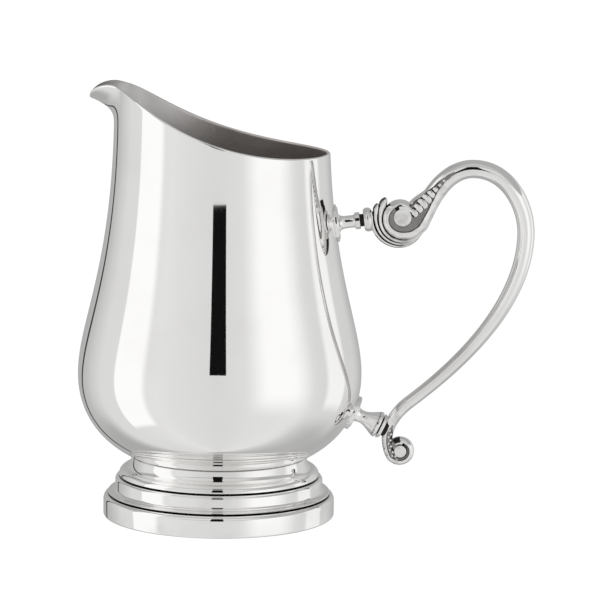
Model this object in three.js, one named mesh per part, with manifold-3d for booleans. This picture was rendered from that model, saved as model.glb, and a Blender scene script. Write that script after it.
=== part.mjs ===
// Footed milk jug in polished silver plate: a spun body with a drawn spout on a stepped foot, and a cast
// scroll handle that stands off the body on two turned stems.
// Millimetres, +Z up, handle towards +X, spout towards -X. The origin is on the surface that the jug stands
// on, under the middle of its box.
import * as THREE from "three";
import { mergeVertices } from "three/addons/utils/BufferGeometryUtils.js";
import Module from "manifold-3d";

// Fits between soldered pieces
const seatGap = 0.1;
const solderGap = 0.3;
const spigotClearance = 0.3;

// Foot, from the bowl outwards and down
const seatRadius = 26.1;
const collarHeight = 6.3;
const collarFlare = 1.3;
const collarCove = 3.8;
const lipOut = 3.65;
const lipHeight = 2.65;
const lipRound = 2.2;
const collarSkirtWall = 2.4;
const middleOut = 1.1;
const middleHeight = 5.3;
const middleRound = 1.1;
const coveWidth = 1.6;
const coveHeight = 1.2;
const coveEdge = 0.6;
const coveLift = 0.95;
const middleSkirtWall = 2;
const plinthOut = 3.5;
const plinthHeight = 6.45;
const plinthBand = 5;
const shoulderWidth = 1.25;
const shoulderHeight = 1.8;
const plinthEdgeRound = 0.6;
const seamBevel = 0.35;
const skirtDepth = 2;

// Body outline, heights above the lowest point of the bowl
const wall = 1;
const cupRadius = 26.5;
const cupRise = 6.53;
const cupFlat = 10;
const cupSlope = THREE.MathUtils.degToRad(26);
const cupTail = 9;
const bowlLead = 8.7;
const bellyRadius = 42;
const bellyRise = 30.7;
const bellyBelow = 12.65;
const bellyAbove = 15.8;
const neckRadius = 31.6;
const neckRise = 110;
const neckBelow = 47.7;

// Rim and spout
const rimLowRise = 96.8;
const rimLowPull = 42.6;
const crestRise = 116.4;
const crestOut = 0.8;
const crestPull = 7.9;
const throatRise = 86;
const beakReach = 7.5;
const beakHalfAngle = THREE.MathUtils.degToRad(24);
const beakTipDrop = 3.9;
const beakCrestPull = 3.2;
const beakTipPull = 1.9;
const flareRise = 104;
const flarePower = 3;

// Upper mount on the neck, lengths along its axis from the wall
const upperMountRise = 75.9;
const upperPatchRadius = 5.55;
const patchThickness = 1;
const upperStemFoot = 3.3;
const upperStemNeck = 1.85;
const upperStemHead = 2.5;
const upperStemLength = 6.7;
const upperFlareLength = 2.8;
const upperCoveLength = 0.7;
const upperHeadLength = 1.4;
const upperGrooveLength = 0.8;
const upperFerruleRadius = 3.55;
const upperFerruleLength = 1.7;
const upperSpigotRadius = 1.5;
const upperSpigotLength = 4.2;

// Lower mount on the bowl
const lowerMountRise = 19.4;
const lowerPatchRadius = 5.25;
const lowerStemFoot = 2.5;
const lowerStemNeck = 1.7;
const lowerStemBell = 3.95;
const lowerStemLength = 8.4;
const lowerStemBead = 1.2;
const lowerNeckPull = 2.3;
const lowerBellPull = 2.4;
const lowerBellSwell = 1.2;
const lowerFerruleRadius = 3.8;
const lowerFerruleTaper = 0.3;
const lowerFerruleLength = 1;
const lowerSpigotRadius = 1.3;
const lowerSpigotLength = 1.3;
const lowerBossRadius = 2.6;

// Upper scroll
const eyeRadius = 2.58;
const eyeRise = 0.35;
const eyeBite = 0.2;
const eyeLift = 0.6;
const scrollRadius = 6.05;
const scrollDepth = 6.4;
const scrollDrop = 0.9;
const scrollStart = THREE.MathUtils.degToRad(45);
const scrollEnd = THREE.MathUtils.degToRad(345);
const scrollTuck = 1.4;
const scrollTuckShare = 0.36;
const scrollSpread = 1.95;
const wrapStep = 1.15;
const wrapTips = [124, 143, 160].map(THREE.MathUtils.degToRad);
const wrapInset = 0.3;
const wrapFlare = 1.9;
const wrapFlareFade = 0.5;
const wrapFlareShare = 0.25;
const wrapTipShare = 0.06;
const wrapBlunt = 0.02;
const wrapThick = 0.6;
const wrapSink = 0.8;
const wrapStagger = 0.6;
const webFrom = 1;
const webWidest = 3.2;
const webTo = 11.5;
const webFirst = 1.2;
const webReach = 2.1;
const webSink = 0.6;
const webInset = 0.3;
const channelDepth = 0.8;
const grooveRadius = 4.05;
const grooveStart = THREE.MathUtils.degToRad(118);
const fanFrom = 4.8;
const fanNear = 0.65;
const fanFar = 4.3;
const slimFrom = 12.1;
const slimFar = 1.9;
const channelTip = 0.2;
const channelTipOff = 0.65;
const channelShort = 1.5;
const scaleCount = 7;
const scaleOut = 2.94;
const scaleUp = 2.1;
const scaleRow = 12.2;
const scaleSlope = THREE.MathUtils.degToRad(48);
const scaleFirst = 1.2;
const scaleWidest = 1.7;
const scaleWidestShare = 0.3;
const scaleLast = 0.5;
const scaleLength = 1;
const scaleHeight = 0.5;

// Handle line, measured from the upper eye and from the lower eye
const archOut = 20.6;
const archUp = 14.9;
const archLead = 10;
const archTrail = 10.55;
const gripOut = 36.4;
const gripDrop = 4;
const gripLead = 7.75;
const gripTrail = 17.4;
const neckLead = 3;
const tailOut = 2.6;
const tailUp = 14.7;
const tailSlope = THREE.MathUtils.degToRad(38);
const tailLead = 26;
const tailTrail = 6;
const curlLead = 7;
const archWidth = 5.4;
const gripWidth = 5.1;
const tailWidth = 3.85;
const archDepth = 5.6;
const tailDepth = 4.4;
const rodSpigotRadius = 1.2;
const rodSpigotLength = 4;
const neckShare = 0.8;
const bandSquareness = 0.75;
const innerSquareness = 0.25;
const rodSquareness = 0.95;

// Lower scroll
const curlOut = 4.26;
const curlDrop = 6.6;
const curlEyeRadius = 1.8;
const curlRadius = 4.1;
const curlSpread = 0.6;
const curlStart = THREE.MathUtils.degToRad(200);
const curlEnd = THREE.MathUtils.degToRad(472);

// Fineness of the facets
const roundSides = 48;
const stemSides = 14;
const bandSides = 14;
const scrollRings = 9;
const neckRings = 8;
const rodRings = 22;
const tailRings = 5;
const curlRings = 14;
const webRings = 5;
const wrapSides = 8;
const wrapRings = 10;
const channelSides = 6;
const channelRings = 14;
const scaleSides = 6;
const filmSteps = 24;
const spoutCrowding = 0.5;

const wasm = await Module();
wasm.setup();

// A geometry as a solid that can be joined and cut.
function solidOf(geometry) {
  const bare = geometry.clone();
  bare.deleteAttribute("normal");
  bare.deleteAttribute("uv");
  const merged = mergeVertices(bare, 1e-4);
  const mesh = new wasm.Mesh({
    numProp: 3,
    vertProperties: merged.getAttribute("position").array,
    triVerts: new Uint32Array(merged.getIndex().array),
  });
  return new wasm.Manifold(mesh);
}

function geometryOf(solid) {
  const { vertProperties, triVerts } = solid.getMesh();
  const geometry = new THREE.BufferGeometry();
  geometry.setAttribute("position", new THREE.BufferAttribute(vertProperties, 3));
  geometry.setIndex(new THREE.BufferAttribute(triVerts, 1));
  geometry.computeVertexNormals();
  return geometry;
}

// A closed skin through rings of equally many points, with a fan over each end.
function loft(rings) {
  const sides = rings[0].length;
  const middles = [rings[0], rings.at(-1)].map((ring) =>
    ring.reduce((sum, p) => sum.add(p), new THREE.Vector3()).divideScalar(sides),
  );
  const points = [...rings.flat(), ...middles];
  const lastRing = (rings.length - 1) * sides;
  const startMiddle = points.length - 2;
  const endMiddle = points.length - 1;
  const faces = [];
  for (let k = 0; k < sides; k++) {
    const next = (k + 1) % sides;
    for (let base = 0; base < lastRing; base += sides) {
      faces.push(base + k, base + next, base + sides + next);
      faces.push(base + k, base + sides + next, base + sides + k);
    }
    faces.push(startMiddle, next, k);
    faces.push(endMiddle, lastRing + k, lastRing + next);
  }
  const geometry = new THREE.BufferGeometry().setFromPoints(points);
  geometry.setIndex(faces);
  geometry.computeVertexNormals();
  return geometry;
}

// A solid turned about Z from an outline of [radius, height] pairs that goes up its outer side.
function turned(outline, sides) {
  const points = outline.map(([radius, height]) => new THREE.Vector2(radius, height));
  return new THREE.LatheGeometry(points, sides).rotateX(Math.PI / 2);
}

// Points on an ellipse round a centre, between two angles in degrees.
function arc([x, y], width, height, from, to, steps) {
  return Array.from({ length: steps + 1 }, (_, i) => {
    const angle = THREE.MathUtils.degToRad(THREE.MathUtils.lerp(from, to, i / steps));
    return [x + width * Math.cos(angle), y + height * Math.sin(angle)];
  });
}

// Where a plane curve that only rises or only falls along an axis reaches a value.
function reach(curve, axis, value) {
  const rising = curve.getPoint(1)[axis] > curve.getPoint(0)[axis];
  let low = 0;
  let high = 1;
  for (let i = 0; i < 40; i++) {
    const middle = (low + high) / 2;
    if (curve.getPoint(middle)[axis] < value === rising) low = middle;
    else high = middle;
  }
  return low;
}

function bezier(...pairs) {
  return new THREE.CubicBezierCurve(...pairs.map(([x, y]) => new THREE.Vector2(x, y)));
}

// The body's outline in radius and rise: the cup under the bowl, the bowl, and the long curve into the neck.
const cupLean = [Math.cos(cupSlope), Math.sin(cupSlope)];
const cup = bezier(
  [0, 0],
  [cupFlat, 0],
  [cupRadius - cupTail * cupLean[0], cupRise - cupTail * cupLean[1]],
  [cupRadius, cupRise],
);
const bowl = bezier(
  [cupRadius, cupRise],
  [cupRadius + bowlLead * cupLean[0], cupRise + bowlLead * cupLean[1]],
  [bellyRadius, bellyRise - bellyBelow],
  [bellyRadius, bellyRise],
);
const shoulder = bezier(
  [bellyRadius, bellyRise],
  [bellyRadius, bellyRise + bellyAbove],
  [neckRadius, neckRise - neckBelow],
  [neckRadius, neckRise],
);

// The bowl's rise at a radius, from its lowest point out to the belly.
function riseAt(radius) {
  const curve = radius < cupRadius ? cup : bowl;
  return curve.getPoint(reach(curve, "x", radius)).y;
}

// The wall's radius at a rise, and the angle by which the wall faces up there.
function wallAt(rise) {
  if (rise >= neckRise) return { radius: neckRadius, tilt: 0 };
  const curve = rise > bellyRise ? shoulder : bowl;
  const t = reach(curve, "y", rise);
  const along = curve.getTangent(t);
  return { radius: curve.getPoint(t).x, tilt: Math.atan2(-along.x, along.y) };
}

// The foot's levels, and the height of the bowl's lowest point above the table.
const plinthTop = plinthHeight;
const middleTop = plinthTop + middleHeight;
const collarTop = middleTop + collarHeight;
const bowlBase = collarTop + seatGap - riseAt(seatRadius);

// The rim's rise at a place along X: from the handle up to the crest, then down to the tip of the beak.
const crestX = -(neckRadius + crestOut);
const tipX = -(neckRadius + beakReach);
const tipRise = crestRise - beakTipDrop;
const rimSweep = bezier(
  [neckRadius, rimLowRise],
  [neckRadius - rimLowPull, rimLowRise],
  [crestX + crestPull, crestRise],
  [crestX, crestRise],
);
const rimBeak = bezier(
  [crestX, crestRise],
  [crestX - beakCrestPull, crestRise],
  [tipX, tipRise + beakTipPull],
  [tipX, tipRise],
);

function rimAt(x) {
  const curve = x > crestX ? rimSweep : rimBeak;
  return curve.getPoint(reach(curve, "x", x)).y;
}

// How far the beak stands out at an angle round the body.
function beakAt(angle) {
  const away = Math.abs(angle - Math.PI);
  if (away >= beakHalfAngle) return 0;
  return beakReach * Math.cos((Math.PI / 2) * (away / beakHalfAngle)) ** 2;
}

// A point of the body's outer skin. The level runs 0 to 1 over the cup, to 2 over the bowl, to 3 up to the
// throat and to 4 up to the rim.
const throatShare = reach(shoulder, "y", throatRise);
function skin(angle, level) {
  const place = (radius, rise) =>
    new THREE.Vector3(radius * Math.cos(angle), radius * Math.sin(angle), bowlBase + rise);
  if (level <= 3) {
    const curve = [cup, bowl, shoulder][Math.min(Math.floor(level), 2)];
    const share = level - Math.min(Math.floor(level), 2);
    const point = curve.getPoint(level > 2 ? share * throatShare : share);
    return place(point.x, point.y);
  }
  const beak = beakAt(angle);
  const rim = rimAt((neckRadius + beak) * Math.cos(angle));
  const rise = THREE.MathUtils.lerp(throatRise, rim, level - 3);
  const flare = Math.max(0, (rise - flareRise) / (rim - flareRise));
  return place(wallAt(rise).radius + beak * flare ** flarePower, rise);
}

// The outward direction of that skin, and the direction up it.
function facing(angle, level) {
  const step = 1e-3;
  const ahead = Math.min(level + step, 4);
  const up = skin(angle, ahead).sub(skin(angle, ahead - 2 * step)).normalize();
  const round = skin(angle + step, level).sub(skin(angle - step, level)).normalize();
  return { up, out: round.cross(up).normalize() };
}

const bodyAngles = Array.from({ length: roundSides }, (_, k) => {
  const even = (2 * Math.PI * k) / roundSides;
  return even + spoutCrowding * Math.sin(even);
});

function bodyRing(level, inwards) {
  return bodyAngles.map((angle) => skin(angle, level).addScaledVector(facing(angle, level).out, -inwards));
}

// The rounded edge of the rim, half a wall above the wall's two faces.
function rimRing() {
  return bodyAngles.map((angle) => {
    const { up, out } = facing(angle, 4);
    return skin(angle, 4).addScaledVector(out, -wall / 2).addScaledVector(up, wall / 2);
  });
}

function levels(from, to, steps) {
  return Array.from({ length: steps }, (_, i) => THREE.MathUtils.lerp(from, to, (i + 1) / steps));
}

function bodyShell() {
  const outer = [...levels(0, 1, 3), ...levels(1, 2, 6), ...levels(2, 3, 6), ...levels(3, 4, 8)];
  const inner = [...levels(0, 1, 2), ...levels(1, 2, 4), ...levels(2, 3, 4), ...levels(3, 4, 6)].reverse();
  return loft([
    ...outer.map((level) => bodyRing(level, 0)),
    rimRing(),
    ...inner.map((level) => bodyRing(level, wall)),
  ]);
}

// The body's outside with a film of solder on it, to fit the plates of the handle to.
function bodyWithFilm() {
  const outline = [cup, bowl, shoulder].flatMap((curve) => curve.getPoints(filmSteps).slice(1));
  const film = outline.map((p) => [p.x + solderGap, p.y + bowlBase]);
  const top = film.at(-1)[1];
  return turned([[0, bowlBase - solderGap], ...film, [0, top]], 2 * roundSides);
}

// Foot radii, from the bowl's seat outwards, then the bores that the skirts leave.
const lipRadius = seatRadius + lipOut;
const middleRadius = lipRadius + middleOut;
const plinthRadius = middleRadius + plinthOut;
const plinthBore = plinthRadius - plinthBand;
const middleSkirt = plinthBore - spigotClearance;
const middleBore = middleSkirt - middleSkirtWall;
const collarSkirt = middleBore - spigotClearance;
const collarBore = collarSkirt - collarSkirtWall;

function footPlinth() {
  const shoulderFoot = plinthTop - shoulderHeight;
  const outline = [
    [plinthBore, 0],
    ...arc([plinthRadius - plinthEdgeRound, plinthEdgeRound], plinthEdgeRound, plinthEdgeRound, -90, 0, 2),
    ...arc([plinthRadius - shoulderWidth, shoulderFoot], shoulderWidth, shoulderHeight, 0, 90, 4),
    [plinthBore, plinthTop],
    [plinthBore, 0],
  ];
  return turned(outline, roundSides);
}

function footMiddle() {
  const coveTop = plinthTop + coveLift + coveHeight;
  const edgeMiddle = [middleRadius + coveWidth, plinthTop + coveLift - coveEdge];
  const outline = [
    [middleBore, plinthTop - skirtDepth],
    [middleSkirt, plinthTop - skirtDepth],
    [middleSkirt, plinthTop],
    [edgeMiddle[0] + coveEdge - seamBevel, plinthTop],
    ...arc(edgeMiddle, coveEdge, coveEdge, 0, 90, 2),
    ...arc([edgeMiddle[0], coveTop], coveWidth, coveHeight, 270, 180, 3).slice(1),
    ...arc([middleRadius - middleRound, middleTop - middleRound], middleRound, middleRound, 0, 90, 2),
    [middleBore, middleTop],
    [middleBore, plinthTop - skirtDepth],
  ];
  return turned(outline, roundSides);
}

function footCollar() {
  const lipTop = middleTop + lipHeight;
  const seat = [0, 0.5, 1].map((share) => {
    const radius = THREE.MathUtils.lerp(seatRadius, collarBore, share);
    return [radius, bowlBase + riseAt(radius) - seatGap];
  });
  const sweep = Math.acos(1 - collarFlare / collarCove);
  const coveMiddle = [seatRadius + collarCove, lipTop + collarCove * Math.sin(sweep)];
  const outline = [
    [collarBore, middleTop - skirtDepth],
    [collarSkirt, middleTop - skirtDepth],
    [collarSkirt, middleTop],
    [lipRadius - seamBevel, middleTop],
    ...arc([lipRadius - lipRound, middleTop + seamBevel], lipRound, lipHeight - seamBevel, 0, 90, 3),
    ...arc(coveMiddle, collarCove, collarCove, 180 + THREE.MathUtils.radToDeg(sweep), 180, 2),
    ...seat,
    [collarBore, middleTop - skirtDepth],
  ];
  return turned(outline, roundSides);
}

// A frame on the wall whose Z axis stands square to the wall, in the plane of the handle.
function wallMount(rise) {
  const { radius, tilt } = wallAt(rise);
  const mount = new THREE.Group();
  mount.position.set(radius, 0, bowlBase + rise);
  mount.rotation.y = Math.PI / 2 - tilt;
  mount.updateMatrixWorld(true);
  return mount;
}
const upperMount = wallMount(upperMountRise);
const lowerMount = wallMount(lowerMountRise);

// A plate that lies on the curved wall, with a bore for the stem.
function patch(mount, radius, spigotRadius) {
  const bore = spigotRadius + spigotClearance;
  const back = -radius / 2;
  const edge = patchThickness / 2;
  const outline = [
    [bore, back],
    [radius, back],
    ...arc([radius - edge, edge], edge, edge, 0, 90, 3),
    [bore, patchThickness],
    [bore, back],
  ];
  const film = bodyWithFilm().applyMatrix4(mount.matrixWorld.clone().invert());
  return geometryOf(solidOf(turned(outline, stemSides)).subtract(solidOf(film)));
}

// Lengths along the upper mount's axis
const stemFoot = patchThickness + solderGap;
const upperStemEnd = stemFoot + upperStemLength;
const upperFerruleFoot = upperStemEnd + solderGap;
const upperFerruleEnd = upperFerruleFoot + upperFerruleLength;
const upperSpigotEnd = upperFerruleEnd + upperSpigotLength;

function upperStem() {
  const headEnd = upperStemEnd - upperGrooveLength;
  const headFoot = headEnd - upperHeadLength;
  const coveFoot = headFoot - upperCoveLength;
  const flare = bezier(
    [upperStemFoot, stemFoot],
    [upperStemNeck, stemFoot],
    [upperStemNeck, stemFoot + upperFlareLength / 2],
    [upperStemNeck, stemFoot + upperFlareLength],
  );
  const outline = [
    [0, 2 * solderGap],
    [upperSpigotRadius, 2 * solderGap],
    [upperSpigotRadius, stemFoot],
    ...flare.getPoints(4).map((p) => [p.x, p.y]),
    ...arc([upperStemHead, coveFoot], upperStemHead - upperStemNeck, upperCoveLength, 180, 90, 3),
    [upperStemHead, headEnd],
    [upperStemNeck, headEnd],
    [upperStemNeck, upperStemEnd],
    [upperSpigotRadius, upperStemEnd],
    [upperSpigotRadius, upperSpigotEnd],
    [0, upperSpigotEnd],
  ];
  return turned(outline, stemSides);
}

function upperFerrule() {
  const bore = upperSpigotRadius + spigotClearance;
  const half = upperFerruleLength / 2;
  const outline = [
    [bore, upperFerruleFoot],
    ...arc([upperFerruleRadius - half, upperFerruleFoot + half], half, half, -90, 90, 6),
    [bore, upperFerruleEnd],
    [bore, upperFerruleFoot],
  ];
  return turned(outline, stemSides);
}

// Lengths along the lower mount's axis
const lowerStemEnd = stemFoot + lowerStemLength;
const lowerFerruleFoot = lowerStemEnd + solderGap;
const lowerFerruleEnd = lowerFerruleFoot + lowerFerruleLength;
const lowerSpigotEnd = lowerFerruleEnd + lowerSpigotLength;

function lowerStem() {
  const bead = lowerStemBead / 2;
  const rim = arc([lowerStemBell - bead, lowerStemEnd - bead], bead, bead, -30, 90, 3);
  const bell = bezier(
    [lowerStemFoot, stemFoot],
    [2 * lowerStemNeck - lowerStemFoot, stemFoot + lowerNeckPull],
    [lowerStemNeck + lowerBellSwell, rim[0][1] - lowerBellPull],
    rim[0],
  );
  const outline = [
    [0, 2 * solderGap],
    [lowerSpigotRadius, 2 * solderGap],
    [lowerSpigotRadius, stemFoot],
    ...bell.getPoints(6).map((p) => [p.x, p.y]),
    ...rim.slice(1),
    [lowerSpigotRadius, lowerStemEnd],
    [lowerSpigotRadius, lowerSpigotEnd],
    [0, lowerSpigotEnd],
  ];
  return turned(outline, stemSides);
}

// Two beads, the second one smaller.
function lowerFerrule() {
  const bore = lowerSpigotRadius + spigotClearance;
  const half = lowerFerruleLength / 4;
  const middles = [lowerFerruleRadius, lowerFerruleRadius - lowerFerruleTaper].map((radius) => radius - half);
  const outline = [
    [bore, lowerFerruleFoot],
    ...arc([middles[0], lowerFerruleFoot + half], half, half, -90, 60, 3),
    ...arc([middles[1], lowerFerruleFoot + 3 * half], half, half, -60, 90, 3),
    [bore, lowerFerruleEnd],
    [bore, lowerFerruleFoot],
  ];
  return turned(outline, stemSides);
}

// The middle of the upper scroll lies past its wraps, a little under the stem's axis.
const wrapReach = scrollRadius + wrapTips.length * wrapStep;
const upperEye = new THREE.Vector3(0, 0, upperFerruleEnd + solderGap + wrapReach)
  .applyMatrix4(upperMount.matrixWorld)
  .add(new THREE.Vector3(0, 0, -scrollDrop));
const lowerEye = new THREE.Vector3(0, 0, lowerFerruleEnd)
  .applyMatrix4(lowerMount.matrixWorld)
  .add(new THREE.Vector3(curlOut, 0, -curlDrop));

// A spiral in the plane of the handle whose radius follows a function of the share along it.
class Spiral extends THREE.Curve {
  constructor(centre, start, end, radius) {
    super();
    Object.assign(this, { centre, start, end, radius });
  }
  getPoint(t, target = new THREE.Vector3()) {
    const angle = THREE.MathUtils.lerp(this.start, this.end, t);
    const radius = this.radius(t);
    return target.set(
      this.centre.x + radius * Math.cos(angle),
      0,
      this.centre.z + radius * Math.sin(angle),
    );
  }
}

// Outer and inner edges of the two spiral bands, by the share along each.
const scrollInner = eyeRadius - eyeBite - eyeLift;
function scrollOuter(t) {
  const tuck = Math.max(0, 1 - t / scrollTuckShare) ** 2;
  return scrollRadius - scrollTuck * tuck + scrollSpread * t ** 6;
}
const curlInner = curlEyeRadius - eyeBite;
function curlOuter(t) {
  return curlRadius + curlSpread * (1 - t) ** 3;
}

// The line of the handle: out of the upper eye, up the neck, over the arch, down the grip and into the lower
// eye.
const scrollSpiral = new Spiral(upperEye, scrollStart, scrollEnd, (t) => (scrollOuter(t) + scrollInner) / 2);
const curlSpiral = new Spiral(lowerEye, curlStart, curlEnd, (t) => (curlOuter(t) + curlInner) / 2);
function handlePoint(eye, out, up) {
  return new THREE.Vector3(eye.x + out, 0, eye.z + up);
}
const archTop = handlePoint(upperEye, archOut, archUp);
const gripMiddle = handlePoint(upperEye, gripOut, -gripDrop);
const tailTop = handlePoint(lowerEye, tailOut, tailUp);
const tailLean = new THREE.Vector3(Math.cos(tailSlope), 0, Math.sin(tailSlope));
const scrollOut = scrollSpiral.getPoint(1);
const curlIn = curlSpiral.getPoint(0);
const pieces = [
  scrollSpiral,
  new THREE.CubicBezierCurve3(
    scrollOut,
    scrollOut.clone().addScaledVector(scrollSpiral.getTangent(1), neckLead),
    handlePoint(archTop, -archLead, 0),
    archTop,
  ),
  new THREE.CubicBezierCurve3(
    archTop,
    handlePoint(archTop, archTrail, 0),
    handlePoint(gripMiddle, 0, gripLead),
    gripMiddle,
  ),
  new THREE.CubicBezierCurve3(
    gripMiddle,
    handlePoint(gripMiddle, 0, -gripTrail),
    tailTop.clone().addScaledVector(tailLean, tailLead),
    tailTop,
  ),
  new THREE.CubicBezierCurve3(
    tailTop,
    tailTop.clone().addScaledVector(tailLean, -tailTrail),
    curlIn.clone().addScaledVector(curlSpiral.getTangent(0), -curlLead),
    curlIn,
  ),
  curlSpiral,
];
const handleLine = new THREE.CurvePath();
pieces.forEach((piece) => handleLine.add(piece));
const ends = handleLine.getCurveLengths();
const [scrollStop, archStop, gripStop, tailStop, curlStop, lineStop] = ends;
const neckStop = THREE.MathUtils.lerp(scrollStop, archStop, neckShare);

// A size that eases from stop to stop along the line, from [distance, size] pairs.
function along(stops, distance) {
  const last = stops.findIndex(([stop]) => stop >= distance);
  if (last <= 0) return stops.at(last)[1];
  const [from, before] = stops[last - 1];
  const [to, after] = stops[last];
  return THREE.MathUtils.lerp(before, after, THREE.MathUtils.smoothstep(distance, from, to));
}

// Width in the plane of the handle and depth across it, at a distance along the line.
function bandAt(distance) {
  const inScroll = distance / scrollStop;
  const inCurl = (distance - curlStop) / (lineStop - curlStop);
  const scrollEndWidth = scrollOuter(1) - scrollInner;
  const curlStartWidth = curlOuter(0) - curlInner;
  const widthStops = [
    [scrollStop, scrollEndWidth],
    [archStop, archWidth],
    [gripStop, gripWidth],
    [tailStop, tailWidth],
    [curlStop, curlStartWidth],
  ];
  let width = along(widthStops, distance);
  if (inScroll < 1) width = scrollOuter(inScroll) - scrollInner;
  if (inCurl > 0) width = curlOuter(inCurl) - curlInner;
  const depthStops = [
    [scrollStop, scrollDepth],
    [archStop, archDepth],
    [tailStop, tailDepth],
    [lineStop, tailDepth],
  ];
  return { width, depth: along(depthStops, distance) };
}

// A sine or cosine made squarer, for sections with flat sides and round corners.
function squared(value, squareness) {
  return Math.sign(value) * Math.abs(value) ** squareness;
}

// A ring of the handle's section: a rounded bar in the scrolls, flat on the side of the upper eye, and nearly
// round along the grip.
function bandRing(distance) {
  const { width, depth } = bandAt(distance);
  const squareStops = [
    [scrollStop, bandSquareness],
    [archStop, rodSquareness],
    [tailStop, rodSquareness],
    [curlStop, bandSquareness],
  ];
  const outer = along(squareStops, distance);
  const inner = along([[scrollStop, innerSquareness], [scrollStop + slimFrom, outer]], distance);
  return ringAt(distance, bandSides, (turn) => {
    const squareness = Math.cos(turn) < 0 ? inner : outer;
    const out = (width / 2) * squared(Math.cos(turn), squareness);
    return [out, (depth / 2) * squared(Math.sin(turn), squareness)];
  });
}

function roundRing(distance, radius) {
  return ringAt(distance, bandSides, (turn) => [radius * Math.cos(turn), radius * Math.sin(turn)]);
}

// The handle's line at a distance along it: a point, and the outward direction across the line there.
function lineAt(distance) {
  const share = THREE.MathUtils.clamp(distance / lineStop, 0, 1);
  const ahead = handleLine.getTangent(share);
  return { point: handleLine.getPoint(share), across: new THREE.Vector3(ahead.z, 0, -ahead.x) };
}

// A ring of points round the handle's line, from a function of the turn that gives them across and sideways.
function ringAt(distance, sides, shape) {
  const { point, across } = lineAt(distance);
  return Array.from({ length: sides }, (_, k) => {
    const [out, side] = shape((2 * Math.PI * k) / sides);
    return point.clone().addScaledVector(across, out).add(new THREE.Vector3(0, side, 0));
  });
}

function distances(from, to, steps) {
  return Array.from({ length: steps + 1 }, (_, i) => THREE.MathUtils.lerp(from, to, i / steps));
}

// A button through both sides of a scroll, with a low dome on each.
function eye(centre, radius, depth) {
  const edge = depth / 2 - eyeRise;
  const outline = [
    ...arc([0, -edge], radius, 2 * eyeRise, -90, 0, 3),
    ...arc([0, edge], radius, 2 * eyeRise, 0, 90, 3),
  ];
  const button = turned(outline, bandSides).rotateX(-Math.PI / 2);
  return solidOf(button.translate(centre.x, centre.y, centre.z));
}

// One leaf wrap: a crescent on the outside of the scroll, thick at its tip and thin where it runs out.
function wrap(tipAngle, order) {
  const start = ((tipAngle - scrollStart) / (scrollEnd - scrollStart)) * scrollStop;
  const rings = distances(0, 1, wrapRings).map((t) => {
    const distance = THREE.MathUtils.lerp(start, scrollStop - wrapStagger * order, t);
    const { width, depth } = bandAt(distance);
    const lift = Math.max(0, 1 - t / wrapFlareShare) ** 2;
    const tip = Math.sqrt(Math.min(1, (t + wrapBlunt) / wrapTipShare));
    const layer = wrapStep * (order + 0.5) * (1 - t * t) - wrapSink * t ** 4;
    const flare = (wrapFlare * lift) / (1 + order * wrapFlareFade);
    const thick = (wrapStep * wrapThick * (1 - t * t / 2) + flare / 2) * tip;
    const side = depth / 2 - wrapInset * (order + 1);
    return ringAt(distance, wrapSides, (turn) => [
      width / 2 + layer + flare / 2 + thick * squared(Math.cos(turn), bandSquareness),
      side * squared(Math.sin(turn), bandSquareness),
    ]);
  });
  return solidOf(loft(rings));
}

// The web that fills the corner between the scroll and its neck, and runs out up the neck.
function web() {
  const reaches = [
    [scrollStop + webFrom, webFirst],
    [scrollStop + webWidest, webReach],
    [scrollStop + webTo, -webSink],
  ];
  const rings = distances(reaches[0][0], reaches.at(-1)[0], webRings).map((distance) => {
    const { width, depth } = bandAt(distance);
    const half = (width / 2 + along(reaches, distance)) / 2;
    const side = depth / 2 - webInset;
    return ringAt(distance, wrapSides, (turn) => [
      half * squared(Math.cos(turn), bandSquareness) - half,
      side * squared(Math.sin(turn), bandSquareness),
    ]);
  });
  return solidOf(loft(rings));
}

// Both sides' channels: a groove round the eye that fans out at the foot of the neck and closes up the neck.
function channels() {
  const start = ((grooveStart - scrollStart) / (scrollEnd - scrollStart)) * scrollStop;
  const end = neckStop - channelShort;
  const grooveFar = (scrollInner - scrollRadius) / 2;
  const grooveNear = grooveFar + grooveRadius - scrollInner;
  const nears = [
    [scrollStop, grooveNear],
    [scrollStop + fanFrom, fanNear],
    [scrollStop + slimFrom, 0],
    [end, channelTip - channelTipOff],
  ];
  const fars = [
    [scrollStop, grooveFar],
    [scrollStop + fanFrom, -fanFar],
    [scrollStop + slimFrom, -slimFar],
    [end, -channelTip - channelTipOff],
  ];
  const stops = distances(start, end, channelRings);
  return [-1, 1].map((side) =>
    solidOf(
      loft(
        stops.map((distance) => {
          const near = along(nears, distance);
          const far = along(fars, distance);
          const deep = Math.min(channelDepth, (near - far) / 2);
          const level = (side * bandAt(distance).depth) / 2;
          return ringAt(distance, channelSides, (turn) => [
            (near + far) / 2 + ((near - far) / 2) * Math.cos(turn),
            level + deep * Math.sin(turn),
          ]);
        }),
      ),
    ),
  );
}

// The row of scales in the channel on both sides, from the eye up the neck.
function scales() {
  const sizes = [
    [0, scaleFirst],
    [scaleWidestShare, scaleWidest],
    [1, scaleLast],
  ];
  const made = [];
  for (const share of distances(0, 1, scaleCount - 1)) {
    const row = share * scaleRow;
    const out = scaleOut + row * Math.cos(scaleSlope);
    const up = scaleUp + row * Math.sin(scaleSlope);
    const middle = handlePoint(upperEye, out, up);
    const level = bandAt(scrollStop + row).depth / 2 - channelDepth;
    for (const side of [-1, 1]) {
      const scale = new THREE.SphereGeometry(1, scaleSides, scaleSides / 2);
      scale.scale(scaleLength, scaleHeight, along(sizes, share)).rotateY(-scaleSlope);
      made.push(solidOf(scale.translate(middle.x, side * level, middle.z)));
    }
  }
  return made;
}

// A socket along a mount's axis, to cut into a casting.
function socket(mount, radius, from, to) {
  const outline = [[0, from], [radius, from], [radius, to], [0, to]];
  return solidOf(turned(outline, stemSides).applyMatrix4(mount.matrixWorld));
}

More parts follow.
